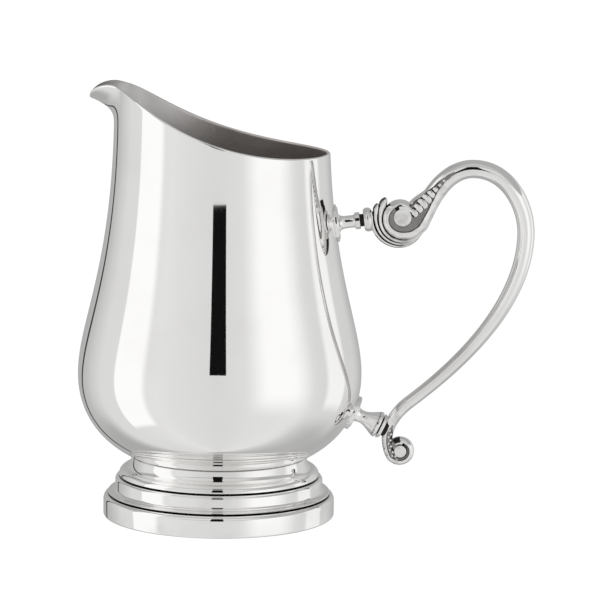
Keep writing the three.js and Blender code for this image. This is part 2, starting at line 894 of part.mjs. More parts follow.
// Two lengths of band, because its inner end runs into its own neck. The leaves are cut flat for the ferrule.
function upperScroll() {
  const crossing = scrollStop / 2;
  const inner = loft(distances(0, crossing, scrollRings).map(bandRing));
  const outer = loft([
    ...distances(crossing, scrollStop, scrollRings).map(bandRing),
    ...distances(scrollStop, neckStop, neckRings).slice(1).map(bandRing),
    roundRing(neckStop, rodSpigotRadius),
    roundRing(neckStop + rodSpigotLength, rodSpigotRadius),
  ]);
  const bore = upperSpigotRadius + spigotClearance;
  const taken = [
    ...channels(),
    socket(upperMount, bore, upperStemEnd, upperSpigotEnd + spigotClearance),
    socket(upperMount, upperFerruleRadius + spigotClearance, 0, upperFerruleEnd + solderGap),
  ];
  const band = solidOf(inner).add(solidOf(outer)).add(web());
  const scroll = wrapTips.map(wrap).reduce((sum, leaf) => sum.add(leaf), band);
  const carved = taken.reduce((left, tool) => left.subtract(tool), scroll);
  const raised = [eye(handlePoint(upperEye, 0, eyeLift), eyeRadius, scrollDepth), ...scales()];
  return geometryOf(raised.reduce((sum, bump) => sum.add(bump), carved));
}

function handleRod() {
  const bore = rodSpigotRadius + spigotClearance;
  const deep = rodSpigotLength + spigotClearance;
  const top = neckStop + solderGap;
  const foot = tailStop - solderGap;
  return loft([
    roundRing(neckStop + deep, bore),
    roundRing(top, bore),
    ...distances(top, foot, rodRings).map(bandRing),
    roundRing(foot, bore),
    roundRing(tailStop - deep, bore),
  ]);
}

// The tail is cut flat for the ferrule, and its boss holds the stem's spigot.
function lowerScroll() {
  const rings = [
    roundRing(tailStop - rodSpigotLength, rodSpigotRadius),
    roundRing(tailStop, rodSpigotRadius),
    ...distances(tailStop, curlStop, tailRings).map(bandRing),
    ...distances(curlStop, lineStop, curlRings).slice(1).map(bandRing),
  ];
  const seat = lowerFerruleEnd + solderGap;
  const bore = lowerSpigotRadius + spigotClearance;
  const taken = [
    socket(lowerMount, lowerFerruleRadius + spigotClearance, 0, seat),
    socket(lowerMount, bore, 0, lowerSpigotEnd + spigotClearance),
  ];
  const boss = socket(lowerMount, lowerBossRadius, seat, lowerSpigotEnd);
  const whole = solidOf(loft(rings)).add(eye(lowerEye, curlEyeRadius, tailDepth)).add(boss);
  return geometryOf(taken.reduce((left, tool) => left.subtract(tool), whole));
}

// Each piece has its own polished plate.
function piece(name, geometry, colour, roughness) {
  const material = new THREE.MeshStandardMaterial({ color: colour, metalness: 1, roughness });
  const mesh = new THREE.Mesh(geometry, material);
  mesh.name = name;
  return mesh;
}
const silver = 0xdcdcda;
const castSilver = 0xd4d3d0;

const foot = new THREE.Group();
foot.add(piece("foot_plinth", footPlinth(), silver, 0.06));
foot.add(piece("foot_middle", footMiddle(), silver, 0.06));
foot.add(piece("foot_collar", footCollar(), silver, 0.06));

upperMount.add(piece("upper_patch", patch(upperMount, upperPatchRadius, upperSpigotRadius), silver, 0.08));
upperMount.add(piece("upper_stem", upperStem(), silver, 0.08));
upperMount.add(piece("upper_ferrule", upperFerrule(), silver, 0.08));
lowerMount.add(piece("lower_patch", patch(lowerMount, lowerPatchRadius, lowerSpigotRadius), silver, 0.08));
lowerMount.add(piece("lower_stem", lowerStem(), silver, 0.08));
lowerMount.add(piece("lower_ferrule", lowerFerrule(), silver, 0.08));

const handle = new THREE.Group();
handle.add(upperMount, lowerMount);
handle.add(piece("upper_scroll", upperScroll(), castSilver, 0.12));
handle.add(piece("handle_rod", handleRod(), castSilver, 0.08));
handle.add(piece("lower_scroll", lowerScroll(), castSilver, 0.12));

const jug = new THREE.Group();
jug.add(piece("body_shell", bodyShell(), silver, 0.04), foot, handle);
const box = new THREE.Box3().setFromObject(jug, true);
const middle = box.getCenter(new THREE.Vector3());
jug.children.forEach((child) => child.position.sub(new THREE.Vector3(middle.x, middle.y, box.min.z)));

const milkJug = new THREE.Group();
milkJug.add(jug);

export default milkJug;
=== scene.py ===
"""Looks of the footed milk jug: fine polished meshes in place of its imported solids, in a light tent."""

from math import acos, atan2, cos, degrees, pi, radians, remainder, sin, sqrt, tan

import bpy
import numpy as np
from mathutils import Matrix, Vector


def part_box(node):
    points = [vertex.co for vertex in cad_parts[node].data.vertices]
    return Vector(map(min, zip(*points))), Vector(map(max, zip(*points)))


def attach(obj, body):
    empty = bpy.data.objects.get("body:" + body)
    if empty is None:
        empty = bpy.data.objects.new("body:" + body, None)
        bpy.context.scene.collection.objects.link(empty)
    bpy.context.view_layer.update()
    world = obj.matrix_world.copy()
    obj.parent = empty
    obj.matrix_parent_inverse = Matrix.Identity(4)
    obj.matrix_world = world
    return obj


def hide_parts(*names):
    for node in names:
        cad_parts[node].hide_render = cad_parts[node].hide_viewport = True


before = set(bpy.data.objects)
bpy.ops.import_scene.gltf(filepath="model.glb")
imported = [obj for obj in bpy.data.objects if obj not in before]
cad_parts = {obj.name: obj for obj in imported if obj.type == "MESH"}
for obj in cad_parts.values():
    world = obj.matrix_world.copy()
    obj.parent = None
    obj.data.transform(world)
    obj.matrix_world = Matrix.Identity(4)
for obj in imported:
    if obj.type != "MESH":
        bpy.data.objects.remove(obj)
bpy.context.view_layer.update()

# All sizes are in millimetres about the jug's own axis, as its solids have them.

# Gaps at the soldered joints
SEAT_GAP = 0.1
SOLDER_GAP = 0.3
SPIGOT_GAP = 0.3

# Foot, from the bowl outwards and down
SEAT_RADIUS = 26.1
COLLAR_HEIGHT = 6.3
COLLAR_FLARE = 1.3
COLLAR_COVE = 3.8
LIP_OUT = 3.65
LIP_HEIGHT = 2.65
LIP_ROUND = 2.2
COLLAR_SKIRT_WALL = 2.4
MIDDLE_OUT = 1.1
MIDDLE_HEIGHT = 5.3
MIDDLE_ROUND = 1.1
COVE_WIDTH = 1.6
COVE_HEIGHT = 1.2
COVE_EDGE = 0.6
COVE_LIFT = 0.95
MIDDLE_SKIRT_WALL = 2.0
PLINTH_OUT = 3.5
PLINTH_HEIGHT = 6.45
PLINTH_BAND = 5.0
SHOULDER_WIDTH = 1.25
SHOULDER_HEIGHT = 1.8
PLINTH_EDGE = 0.6
SEAM_BEVEL = 0.5
SEAT_LINE = 0.15
SKIRT_DEPTH = 2.0

# Rounding of edges: radii, the most of a side that a round takes, and how far past it the side is held
EDGE_ROUND = 0.14
PATCH_ROUND = 0.06
FERRULE_ROUND = 0.05
ROUND_SHARE = 0.3
ROUND_HOLD = 1.5
SHARP_TURN = radians(25)

# Body outline, heights above the lowest point of the bowl
WALL = 1.0
CUP_RADIUS = 26.5
CUP_RISE = 6.53
CUP_FLAT = 10.0
CUP_SLOPE = radians(26)
CUP_TAIL = 9.0
BOWL_LEAD = 8.7
BELLY_RADIUS = 42.0
BELLY_RISE = 30.7
BELLY_BELOW = 12.65
BELLY_ABOVE = 15.8
NECK_RADIUS = 31.6
NECK_RISE = 110.0
NECK_BELOW = 47.7

# Rim and spout
RIM_LOW_RISE = 96.3
RIM_LOW_PULL = 42.6
CREST_RISE = 115.9
CREST_OUT = 0.8
CREST_PULL = 7.9
THROAT_RISE = 86.0
BEAK_REACH = 6.9
BEAK_HALF_ANGLE = radians(24)
BEAK_TIP_DROP = 3.9
BEAK_CREST_PULL = 3.2
BEAK_TIP_PULL = 1.9
FLARE_RISE = 104.0
FLARE_POWER = 3
SPOUT_CROWDING = 0.5

# Upper mount on the neck, lengths along its axis from the wall
UPPER_MOUNT_RISE = 75.9
UPPER_PATCH_RADIUS = 5.55
PATCH_THICKNESS = 1.0
PATCH_STEP = 0.75
PATCH_STEP_DEPTH = 0.3
PATCH_LIFT = 0.02
UPPER_STEM_FOOT = 3.3
UPPER_STEM_NECK = 1.85
UPPER_STEM_HEAD = 2.5
UPPER_STEM_LENGTH = 6.7
UPPER_FLARE_LENGTH = 2.8
UPPER_COVE_LENGTH = 0.7
UPPER_HEAD_LENGTH = 1.4
UPPER_GROOVE_LENGTH = 0.8
UPPER_FERRULE_RADIUS = 3.55
UPPER_FERRULE_LENGTH = 1.7
UPPER_FERRULE_GROWTH = 0.75

# Lower mount on the bowl
LOWER_MOUNT_RISE = 19.4
LOWER_PATCH_RADIUS = 5.25
LOWER_STEM_FOOT = 2.5
LOWER_STEM_NECK = 1.7
LOWER_STEM_BELL = 3.95
LOWER_STEM_LENGTH = 8.4
LOWER_STEM_BEAD = 1.2
LOWER_RIM_START = -30
LOWER_NECK_PULL = 2.3
LOWER_BELL_PULL = 2.4
LOWER_BELL_SWELL = 1.2
LOWER_FERRULE_RADIUS = 3.8
LOWER_FERRULE_TAPER = 0.3
LOWER_FERRULE_LENGTH = 1.0
LOWER_RING_TURN = 60
LOWER_BOSS_RADIUS = 2.6
LOWER_RINGS_BACK = 0.9
# A band near the bell's rim that is painted grey as shade
BELL_SHADE_SPAN = (7.3, 7.7)
LOWER_BOSS_END = 11.3

# Upper scroll
EYE_RADIUS = 2.58
EYE_RISE = 0.12
EYE_BITE = 0.2
EYE_LIFT = 0.6
EYE_CORNER = 0.1
SCROLL_RADIUS = 6.05
SCROLL_DEPTH = 6.4
SCROLL_DROP = 0.9
SCROLL_START = radians(45)
SCROLL_END = radians(345)
SCROLL_TUCK = 1.4
SCROLL_TUCK_SHARE = 0.36
SCROLL_SPREAD = 1.95
SCROLL_SPREAD_POWER = 6
WRAP_STEP = 1.15
WRAP_TIPS = [radians(tip) for tip in (124, 143, 160)]
WRAP_INSET = 0.3
WRAP_FLARE = 1.9
WRAP_FLARE_FADE = 0.5
WRAP_FLARE_SHARE = 0.25
WRAP_TIP_SHARE = 0.06
WRAP_BLUNT = 0.004
WRAP_THICK = 0.6
WRAP_SINK = 0.8
WRAP_STAGGER = 0.6
WRAP_CROWDING = 1.5
# Where the leaves are painted black as shade: under them, and over their outer edges where covered or within
# a span of their length
WRAP_SHADE_UNDER = (-0.93, -0.6, -0.6)
WRAP_SHADE_OVER = (0.6, 0.6, 0.3)
WRAP_SHADE_SPAN = (0.25, 0.9)

# The web between the scroll and its neck, by the distance past the scroll
WEB_STEPS = [(-1.0, 0.0), (1.0, 1.2), (3.2, 2.1), (11.5, -0.6)]

# The channel, its near and far edges by the distance past the scroll, and the groove round the eye before it
CHANNEL_DEPTH = 0.8
CHANNEL_WALL = 0.22
PIT_LENGTH = 1.3
PIT_DEPTH = 1.5
GROOVE_NEARS = [(101, 0.1), (180, 0.05), (270, -0.43), (315, -0.1), (345, 0.36)]
NEAR_STEPS = [(1.9, 0.5), (4.8, 0.65), (7.5, 0.5), (12.1, 0.0), (16.0, -0.3), (18.5, -0.6)]
FAR_STEPS = [(2.6, -6.5), (4.8, -4.0), (8.3, -2.3), (12.1, -1.4), (16.0, -0.9), (18.5, -0.75)]
INNER_SQUARE_END = 12.1

# The row of scales, measured from the middle of the scroll
SCALE_COUNT = 8
SCALE_PLACE = (3.2, 1.8)
SCALE_ROW = 13.0
SCALE_SLOPE = radians(48)
SCALE_SIZES = [(0.0, 1.5), (0.3, 1.9), (1.0, 0.5)]
SCALE_LENGTH = 1.45
SCALE_HEIGHT = 0.5
SCALE_TILT = radians(23)
# The end of each scale that is painted black as shade: past a turn round it and below a rise
SCALE_SHADE_TURN = 0.35
SCALE_SHADE_RISE = 0.5

# Handle line, with places out and up from the upper eye, and the tail's from the lower one
ARCH_PLACE = (20.6, 14.9)
ARCH_LEAD = 10.0
ARCH_TRAIL = 10.55
GRIP_PLACE = (36.4, -4.0)
GRIP_LEAD = 7.75
GRIP_TRAIL = 17.4
NECK_LEAD = 3.0
TAIL_PLACE = (2.6, 14.7)
TAIL_SLOPE = radians(38)
TAIL_LEAD = 26.0
TAIL_TRAIL = 6.0
CURL_LEAD = 7.0
ARCH_WIDTH = 5.4
GRIP_WIDTH = 5.1
TAIL_WIDTH = 3.85
ARCH_DEPTH = 5.6
TAIL_DEPTH = 4.4
NECK_SHARE = 0.8
BAND_SQUARENESS = 0.9
INNER_SQUARENESS = 0.25
ROD_SQUARENESS = 1.1
ROD_SWELL = 1.22
ROD_SWELL_RUN = 16.0

# Lower scroll
CURL_OUT = 4.26
CURL_DROP = 6.6
CURL_EYE_RADIUS = 1.8
CURL_RADIUS = 4.1
CURL_SPREAD = 0.6
CURL_SPREAD_POWER = 3
CURL_START = radians(200)
CURL_END = radians(485)
CURL_GROOVE_END = radians(436)
# From here on the curl's outer edge is painted black as shade
CURL_SHADE_START = radians(450)
CURL_WEB_ANGLE = radians(131)
CURL_WEB_OUT = 2.6
CURL_WEB_RADIUS = 1.0
CURL_WEB_DEPTH = 1.3
CURL_PIT_LENGTH = 0.8
# The span along the tail whose outer edge is painted black as shade, so many points deep
TAIL_SHADE_SPAN = (-10.0, 3.0)
TAIL_SHADE_POINTS = 5
CURL_CHANNEL_DEPTH = 0.6
CURL_NEAR_STEPS = [(-9.5, -0.55), (-6.0, 0.1), (0.0, 0.1), (2.5, -0.35)]
CURL_FAR_STEPS = [(-9.5, -0.65), (-6.0, -1.35), (0.0, -1.35), (2.5, -3.0)]
BEAD_COUNT = 11
BEAD_RADIUS = 0.42
BEAD_ROWS = 10
BEAD_SIDES = 20
BEADS_SPAN = (-7.5, 2.6)
BEAD_OFFS = (-0.3, -0.95)

# Levels of the body's skin: the lowest ring, the cup's edge, the belly, the throat and the rim
THROAT_LEVEL = 3
RIM_LEVEL = 4
BODY_LEVELS = (0.05, 1, 2, THROAT_LEVEL, RIM_LEVEL)

# Fineness of the meshes
ROUND_SIDES = 256
BODY_SIDES = 288
OUTER_ROWS = (14, 44, 44, 60)
INNER_ROWS = (44, 28, 24, 8)
RIM_STEPS = 8
STEM_SIDES = 96
SEAT_POINTS = 6
FLARE_POINTS = 16
BELL_POINTS = 30
SCROLL_RINGS = 260
CURL_RINGS = 200
ROD_RINGS = 180
ROD_SIDES = 76
SCALE_ROWS = 12
SCALE_SIDES = 24
CURVE_SAMPLES = 8001
ARC_STEPS = 10
CHANNEL_STEP = 0.02
BISECTIONS = 40
SMOOTH_LIMIT = radians(40)

# The finishes of a piece, as its materials are listed: polished, grey stipple darkened as painted shade, and
# black painted shade; and the body's second one
POLISHED, STIPPLE_SHADE, BLACK_SHADE = 0, 1, 2
INSIDE = 1

# Silver: clouds of tarnish, rubbing marks and stipple, with scales in marks to a metre
CLOUD_SCALE = 60
CLOUD_SPAN = (0.45, 0.7)
PATINA = 0.35
RECESS_SPAN = (0.40, 0.49)
RUB_SCALE = 1500
RUB_SPAN = (0.35, 0.75)
RUB_DULLING = 2.2
LEVEL_RUB = (1, 1, 30)
SATIN_RUB = (1, 1, 40)
STEM_RUB = (1, 20, 20)
GRIP_RUB = (20, 1, 1)
SATIN_ROUGHNESS = 0.26
# The inside of the beak is painted this dark tone as shade
BEAK_SHADE_TONE = (0.12, 0.115, 0.11, 1)
STIPPLE_SCALE = 3200
STIPPLE_STRENGTH = 0.6
STIPPLE_DEPTH = 0.0001
STIPPLE_ROUGHNESS = 0.22

# The light tent. Angles are in degrees: round the jug, 0 at the camera and 90 at the handle's side, and up
TENT_BACK = 0.40
TENT_WALLS = [
    (-152, 0.46), (-135, 0.54), (-128, 0.60), (-110, 0.73), (-92, 0.74), (-50, 0.80), (-35, 0.76),
    (0, 0.72), (20, 0.75), (75, 0.80), (90, 0.72), (126, 0.68), (142, 0.66), (160, 0.50),
]
CEILING_FOOT = (20.5, 23)
CEILING_BEND = (44, 54)

# Cards in the tent, each laid over those before it. Every edge is the span of angles in which it fades
TENT_CARDS = [
    # The floor to the right, behind and to the left
    {"from": (60, 125), "up_to": (-46, -26), "tone": 0.47},
    {"from": (128, 150), "up_to": (-32, -12), "tone": 0.44},
    {"to": (-134, -106), "up_to": (-40, -20), "tone": 0.42},
    # The ceiling, its front and its top
    {"up_from": CEILING_FOOT, "tone": 0.44},
    {"from": (-90, -50), "to": (30, 70), "up_from": CEILING_FOOT, "up_to": CEILING_BEND, "tone": 0.74},
    {"from": (-75, -25), "to": (40, 90), "up_from": CEILING_BEND, "tone": 0.56},
    # The soft boxes
    {"from": (-93, -91), "to": (-66, -58), "up_from": (-46, -40), "up_to": (42, 50), "tone": 1.03},
    {"from": (20, 44), "to": (62, 86), "up_from": (-36, -6), "up_to": CEILING_FOOT, "tone": 1.02},
    {"from": (96, 103), "to": (121, 126), "up_from": (-28, -18), "up_to": CEILING_FOOT, "tone": 0.94},
    # The dark seams of the wall and of the ceiling
    {"from": (-145, -144), "to": (-141, -140), "lean": 0.45, "up_from": (-50, -25), "tone": 0.05},
    {"from": (-60, -20), "to": (20, 60), "up_from": (18.8, 19.8), "up_to": (21.5, 22.5), "tone": 0.16},
]

# The slit in the tent that the camera looks through, as a dark upright card, by two of its corners
SLIT_FROM = (-96, -900, 153)
SLIT_TO = (110, -900, 980)
SLIT_TONE = 0.006

# The floor, which reaches this many metres each way
FLOOR_REACH = 3.0
FLOOR_TONE = 0.86
FLOOR_GRAIN_TONE = 0.88
FLOOR_GRAIN_SCALE = 900
FLOOR_GRAIN_SPAN = (0.3, 0.7)
FLOOR_ROUGHNESS = 0.9
FLOOR_GLOW = 1.1
SHADOW_SHARE = 0.12

# The camera
CAMERA_PLACE = (32.30, -916.73, 204.57)
CAMERA_PITCH, CAMERA_YAW, CAMERA_ROLL = radians(8.673), radians(-0.551), radians(0.732)
CAMERA_LENS = 188.36
CAMERA_SENSOR = 36

MM = 0.001
foot_low, foot_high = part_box("foot_plinth")
AXIS = np.array([(foot_low.x + foot_high.x) / 2, (foot_low.y + foot_high.y) / 2, foot_low.z])


class Bezier:
    """A cubic curve through the first and last of four points."""

    def __init__(self, *points):
        self.points = np.array(points, float)

    def at(self, shares):
        t = np.asarray(shares, float)[..., None]
        a, b, c, d = self.points
        return (1 - t) ** 3 * a + 3 * (1 - t) ** 2 * t * b + 3 * (1 - t) * t**2 * c + t**3 * d

    def tangent(self, shares):
        t = np.asarray(shares, float)[..., None]
        a, b, c, d = self.points
        return 3 * ((1 - t) ** 2 * (b - a) + 2 * (1 - t) * t * (c - b) + t**2 * (d - c))

    def reach(self, column, value):
        """The share where a column that only rises or only falls gets to a value."""
        shares = np.linspace(0, 1, CURVE_SAMPLES)
        places = self.at(shares)[:, column]
        if places[-1] < places[0]:
            shares, places = shares[::-1], places[::-1]
        return np.interp(value, places, shares)

    def other(self, column, value):
        """The other column's place where one gets to a value."""
        return self.at(self.reach(column, value))[..., 1 - column]


def arc(centre, width, height, start, end, steps=ARC_STEPS):
    """Points on an ellipse round a centre, between two angles in degrees."""
    angles = np.radians(np.linspace(start, end, steps + 1))
    return np.column_stack([centre[0] + width * np.cos(angles), centre[1] + height * np.sin(angles)])


def joined(runs):
    """Runs of points as one, each without the point that it shares with the run before."""
    return np.concatenate([runs[0]] + [run[1:] for run in runs[1:]])


def smooth(share):
    """A share from 0 to 1, made to start and end gently."""
    return share * share * (3 - 2 * share)


def unit(vectors):
    return vectors / np.linalg.norm(vectors, axis=-1, keepdims=True)


def circle(count):
    """Angles of so many even steps round a circle."""
    return np.linspace(0, 2 * pi, count, endpoint=False)


def heading(angles):
    """Directions in the plane of the handle, by their angles above the way straight out."""
    return np.stack([np.cos(angles), 0 * angles, np.sin(angles)], axis=-1)


def rounded(outline, radius=EDGE_ROUND, steps=4):
    """An outline with its sharp corners rounded, apart from its ends if it starts on the axis. A near point
    either side of each round keeps flats flat."""
    points = np.array(outline, float)
    ends = (0, len(points) - 1) if points[0][0] == 0 else ()
    made = []
    for i, point in enumerate(points):
        back = points[i - 1] - point
        ahead = points[(i + 1) % len(points)] - point
        turn = abs(remainder(atan2(*ahead[::-1]) - atan2(*(-back[::-1])), 2 * pi))
        if turn < SHARP_TURN or i in ends:
            made.append(point)
            continue
        shortest = min(np.hypot(*back), np.hypot(*ahead))
        reach = min(radius * tan(turn / 2), ROUND_SHARE * shortest)
        back, ahead = reach * unit(back), reach * unit(ahead)
        made.append(point + ROUND_HOLD * back)
        for t in np.linspace(0, 1, steps + 1):
            made.append(point + (1 - t) ** 2 * back + t**2 * ahead)
        made.append(point + ROUND_HOLD * ahead)
    return np.array(made)


def new_object(name, data):
    made = bpy.data.objects.new(name, data)
    bpy.context.scene.collection.objects.link(made)
    return made


class Skin:
    """Points and faces of a mesh that is put together from several closed skins."""

    def __init__(self):
        self.points = []
        self.faces = []
        self.finishes = []
        self.count = 0

    def wrap(self, rings, ends, finish):
        """A skin over rings of equally many points, with a fan to each of two ends, or closed on itself. The
        finish is one for all faces or one for each, and fans left over are polished."""
        count, sides = rings.shape[:2]
        pairs = [(k, (k + 1) % sides) for k in range(sides)]
        faces = []
        for row in range(count - 1 if len(ends) else count):
            base, above = row * sides, (row + 1) % count * sides
            faces += [(base + k, base + following, above + following, above + k) for k, following in pairs]
        if len(ends):
            foot, top = count * sides, (count - 1) * sides
            for k, following in pairs:
                faces += [(foot, following, k), (foot + 1, top + k, top + following)]
        finishes = np.full(len(faces), POLISHED)
        finishes[: np.size(finish) if np.ndim(finish) else None] = np.ravel(finish)
        self.points.append(np.concatenate([rings.reshape(-1, 3), ends]))
        self.faces += [[self.count + i for i in face] for face in faces]
        self.finishes += finishes.tolist()
        self.count += len(self.points[-1])
        return self

    def loft(self, rings, finish=POLISHED):
        """A skin through rings, with a fan to the middle of the first and of the last."""
        rings = np.asarray(rings, float)
        return self.wrap(rings, rings[[0, -1]].mean(1), finish)

    def turned(self, outline, sides, place=np.asarray, finish=POLISHED, spans=()):
        """An outline of (radius, height) points turned about Z, from axis to axis or closed on itself.
        Spans of (lowest, highest, finish) set its finishes along the axis."""
        outline = np.asarray(outline, float)
        on_axis = outline[0][0] == 0
        profile = outline[1:-1] if on_axis else outline
        ends = outline[[0, -1], 1:] * [0, 0, 1] if on_axis else np.empty((0, 3))
        angles = circle(sides)
        around = np.column_stack([np.cos(angles), np.sin(angles), 0 * angles])
        rings = profile[:, :1, None] * around + profile[:, 1:, None] * [0, 0, 1]
        if spans:
            middles = (profile + np.roll(profile, -1, axis=0))[: -1 if on_axis else None, 1] / 2
            rows = np.full(len(middles), POLISHED)
            for low, high, other in spans:
                rows[(middles > low) & (middles < high)] = other
            finish = np.repeat(rows, sides)
        return self.wrap(place(rings), place(ends), finish)

    def piece(self, name, node, slot, materials):
        """Makes the finished object, in place of its solid and riding on the jug."""
        mesh = bpy.data.meshes.new(name)
        points = np.concatenate(self.points) * MM + AXIS
        mesh.from_pydata(points.tolist(), [], self.faces)
        for material in materials:
            mesh.materials.append(material)
        mesh.polygons.foreach_set("material_index", self.finishes)
        mesh.polygons.foreach_set("use_smooth", [True] * len(mesh.polygons))
        mesh.set_sharp_from_angle(angle=SMOOTH_LIMIT)
        mesh.update()
        made = new_object(name, mesh)
        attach(made, "root")
        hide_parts(node)


def turned_piece(runs, sides, place=np.asarray, spans=(), radius=EDGE_ROUND):
    """A piece turned from runs of points, with its edges rounded."""
    return Skin().turned(rounded(np.concatenate(runs), radius), sides, place, spans=spans)


# The body's outline in radius and rise
CUP_LEAN = np.array([cos(CUP_SLOPE), sin(CUP_SLOPE)])
CUP_EDGE = np.array([CUP_RADIUS, CUP_RISE])
BELLY = np.array([BELLY_RADIUS, BELLY_RISE])
NECK = np.array([NECK_RADIUS, NECK_RISE])
cup = Bezier((0, 0), (CUP_FLAT, 0), CUP_EDGE - CUP_TAIL * CUP_LEAN, CUP_EDGE)
bowl = Bezier(CUP_EDGE, CUP_EDGE + BOWL_LEAD * CUP_LEAN, BELLY - [0, BELLY_BELOW], BELLY)
shoulder = Bezier(BELLY, BELLY + [0, BELLY_ABOVE], NECK - [0, NECK_BELOW], NECK)


def rise_at(radius):
    """The bowl's rise at a radius, from its lowest point out to the belly."""
    return float((cup if radius < CUP_RADIUS else bowl).other(0, radius))


def wall_radius(rise):
    """The wall's radius at rises from the bowl up, straight above the neck."""
    return np.where(np.asarray(rise) < BELLY_RISE, bowl.other(1, rise), shoulder.other(1, rise))


def wall_tilt(rise):
    """The angle by which the wall faces up at a rise."""
    curve = shoulder if rise > BELLY_RISE else bowl
    along = curve.tangent(curve.reach(1, rise))
    return atan2(-along[0], along[1])


MIDDLE_TOP = PLINTH_HEIGHT + MIDDLE_HEIGHT
COLLAR_TOP = MIDDLE_TOP + COLLAR_HEIGHT
BOWL_BASE = COLLAR_TOP + SEAT_GAP - rise_at(SEAT_RADIUS)

# The rim, from the handle up to the crest, then down to the tip of the beak
RIM_LOW = np.array([NECK_RADIUS, RIM_LOW_RISE])
CREST = np.array([-NECK_RADIUS - CREST_OUT, CREST_RISE])
TIP = np.array([-NECK_RADIUS - BEAK_REACH, CREST_RISE - BEAK_TIP_DROP])
rim_sweep = Bezier(RIM_LOW, RIM_LOW - [RIM_LOW_PULL, 0], CREST + [CREST_PULL, 0], CREST)
rim_beak = Bezier(CREST, CREST - [BEAK_CREST_PULL, 0], TIP + [0, BEAK_TIP_PULL], TIP)


def rim_at(x):
    return np.where(x > CREST[0], rim_sweep.other(0, x), rim_beak.other(0, x))


def beak_at(angles):
    """How far the beak stands out at angles round the body."""
    away = np.minimum(np.abs(angles - pi) / BEAK_HALF_ANGLE, 1)
    return BEAK_REACH * np.cos(pi / 2 * away) ** 2


THROAT_SHARE = float(shoulder.reach(1, THROAT_RISE))


def skin(angles, level):
    """The body's outer skin round a level."""
    if level <= THROAT_LEVEL:
        index = min(int(level), 2)
        share = (level - index) * (THROAT_SHARE if index == 2 else 1)
        radius, rise = (cup, bowl, shoulder)[index].at(share)
        radius, rise = np.full_like(angles, radius), np.full_like(angles, rise)
    else:
        beak = beak_at(angles)
        rim = rim_at((NECK_RADIUS + beak) * np.cos(angles))
        rise = THROAT_RISE + (rim - THROAT_RISE) * (level - THROAT_LEVEL)
        flare = np.where(beak > 0, np.maximum(0, (rise - FLARE_RISE) / (rim - FLARE_RISE)), 0)
        radius = wall_radius(rise) + beak * flare**FLARE_POWER
    return np.column_stack([radius * np.cos(angles), radius * np.sin(angles), BOWL_BASE + rise])


def facing(angles, level, step=1e-3):
    """The direction up the skin, and the outward direction, round a level."""
    ahead = min(max(level, 2 * step) + step, RIM_LEVEL)
    up = unit(skin(angles, ahead) - skin(angles, ahead - 2 * step))
    around = unit(skin(angles + step, level) - skin(angles - step, level))
    return up, unit(np.cross(around, up))


def levels(stops, rows):
    """Levels through stops, with so many rows from each stop to the next."""
    return joined([np.linspace(start, end, count) for start, end, count in zip(stops, stops[1:], rows)])


def body_shell():
    even = circle(BODY_SIDES)
    angles = even + SPOUT_CROWDING * np.sin(even)
    rings = [skin(angles, level) for level in levels(BODY_LEVELS, OUTER_ROWS)]
    rim_top = len(rings) + RIM_STEPS // 2 - 1
    rim = rings[-1]
    up, out = facing(angles, RIM_LEVEL)
    for turn in np.radians(np.linspace(0, 180, RIM_STEPS + 1))[1:-1]:
        in_by, up_by = WALL / 2 * (1 - cos(turn)), WALL / 2 * sin(turn)
        rings.append(rim - in_by * out + up_by * up)
    for level in levels(BODY_LEVELS[::-1], INNER_ROWS):
        rings.append(skin(angles, level) - WALL * facing(angles, level)[1])
    finish = np.full((len(rings) - 1, BODY_SIDES), POLISHED)
    finish[rim_top:] = INSIDE
    return Skin().loft(rings, finish)


# Foot radii, from the bowl's seat outwards, then the bores that the skirts leave
LIP_RADIUS = SEAT_RADIUS + LIP_OUT
MIDDLE_RADIUS = LIP_RADIUS + MIDDLE_OUT
PLINTH_RADIUS = MIDDLE_RADIUS + PLINTH_OUT
PLINTH_BORE = PLINTH_RADIUS - PLINTH_BAND
MIDDLE_SKIRT = PLINTH_BORE - SPIGOT_GAP
MIDDLE_BORE = MIDDLE_SKIRT - MIDDLE_SKIRT_WALL
COLLAR_SKIRT = MIDDLE_BORE - SPIGOT_GAP
COLLAR_BORE = COLLAR_SKIRT - COLLAR_SKIRT_WALL


def foot_plinth():
    bend = (PLINTH_RADIUS - SHOULDER_WIDTH, PLINTH_HEIGHT - SHOULDER_HEIGHT)
    runs = [
        [(PLINTH_BORE, 0)],
        arc((PLINTH_RADIUS - PLINTH_EDGE, PLINTH_EDGE), PLINTH_EDGE, PLINTH_EDGE, -90, 0),
        arc(bend, SHOULDER_WIDTH, SHOULDER_HEIGHT, 0, 90, steps=16),
        [(PLINTH_BORE, PLINTH_HEIGHT)],
    ]
    return turned_piece(runs, ROUND_SIDES)


def skirt(bore, radius, height, seat):
    """The skirt by which a ring of the foot stands in the one below, and the face that it rests on."""
    return [(bore, height - SKIRT_DEPTH), (radius, height - SKIRT_DEPTH), (radius, height), (seat, height)]


# The band over a seam between two rings, painted black as shade in the joint
def seam(height):
    return (height - SEAM_BEVEL, height + SEAM_BEVEL, BLACK_SHADE)


def foot_middle():
    edge = (MIDDLE_RADIUS + COVE_WIDTH, PLINTH_HEIGHT + COVE_LIFT - COVE_EDGE)
    cove = (MIDDLE_RADIUS + COVE_WIDTH, PLINTH_HEIGHT + COVE_LIFT + COVE_HEIGHT)
    top_round = (MIDDLE_RADIUS - MIDDLE_ROUND, MIDDLE_TOP - MIDDLE_ROUND)
    runs = [
        skirt(MIDDLE_BORE, MIDDLE_SKIRT, PLINTH_HEIGHT, edge[0] + COVE_EDGE - SEAM_BEVEL),
        arc(edge, COVE_EDGE, COVE_EDGE, 0, 90),
        arc(cove, COVE_WIDTH, COVE_HEIGHT, 270, 180, steps=14)[1:],
        arc(top_round, MIDDLE_ROUND, MIDDLE_ROUND, 0, 90, steps=14),
        [(MIDDLE_BORE, MIDDLE_TOP)],
    ]
    return turned_piece(runs, ROUND_SIDES, spans=[seam(PLINTH_HEIGHT)])


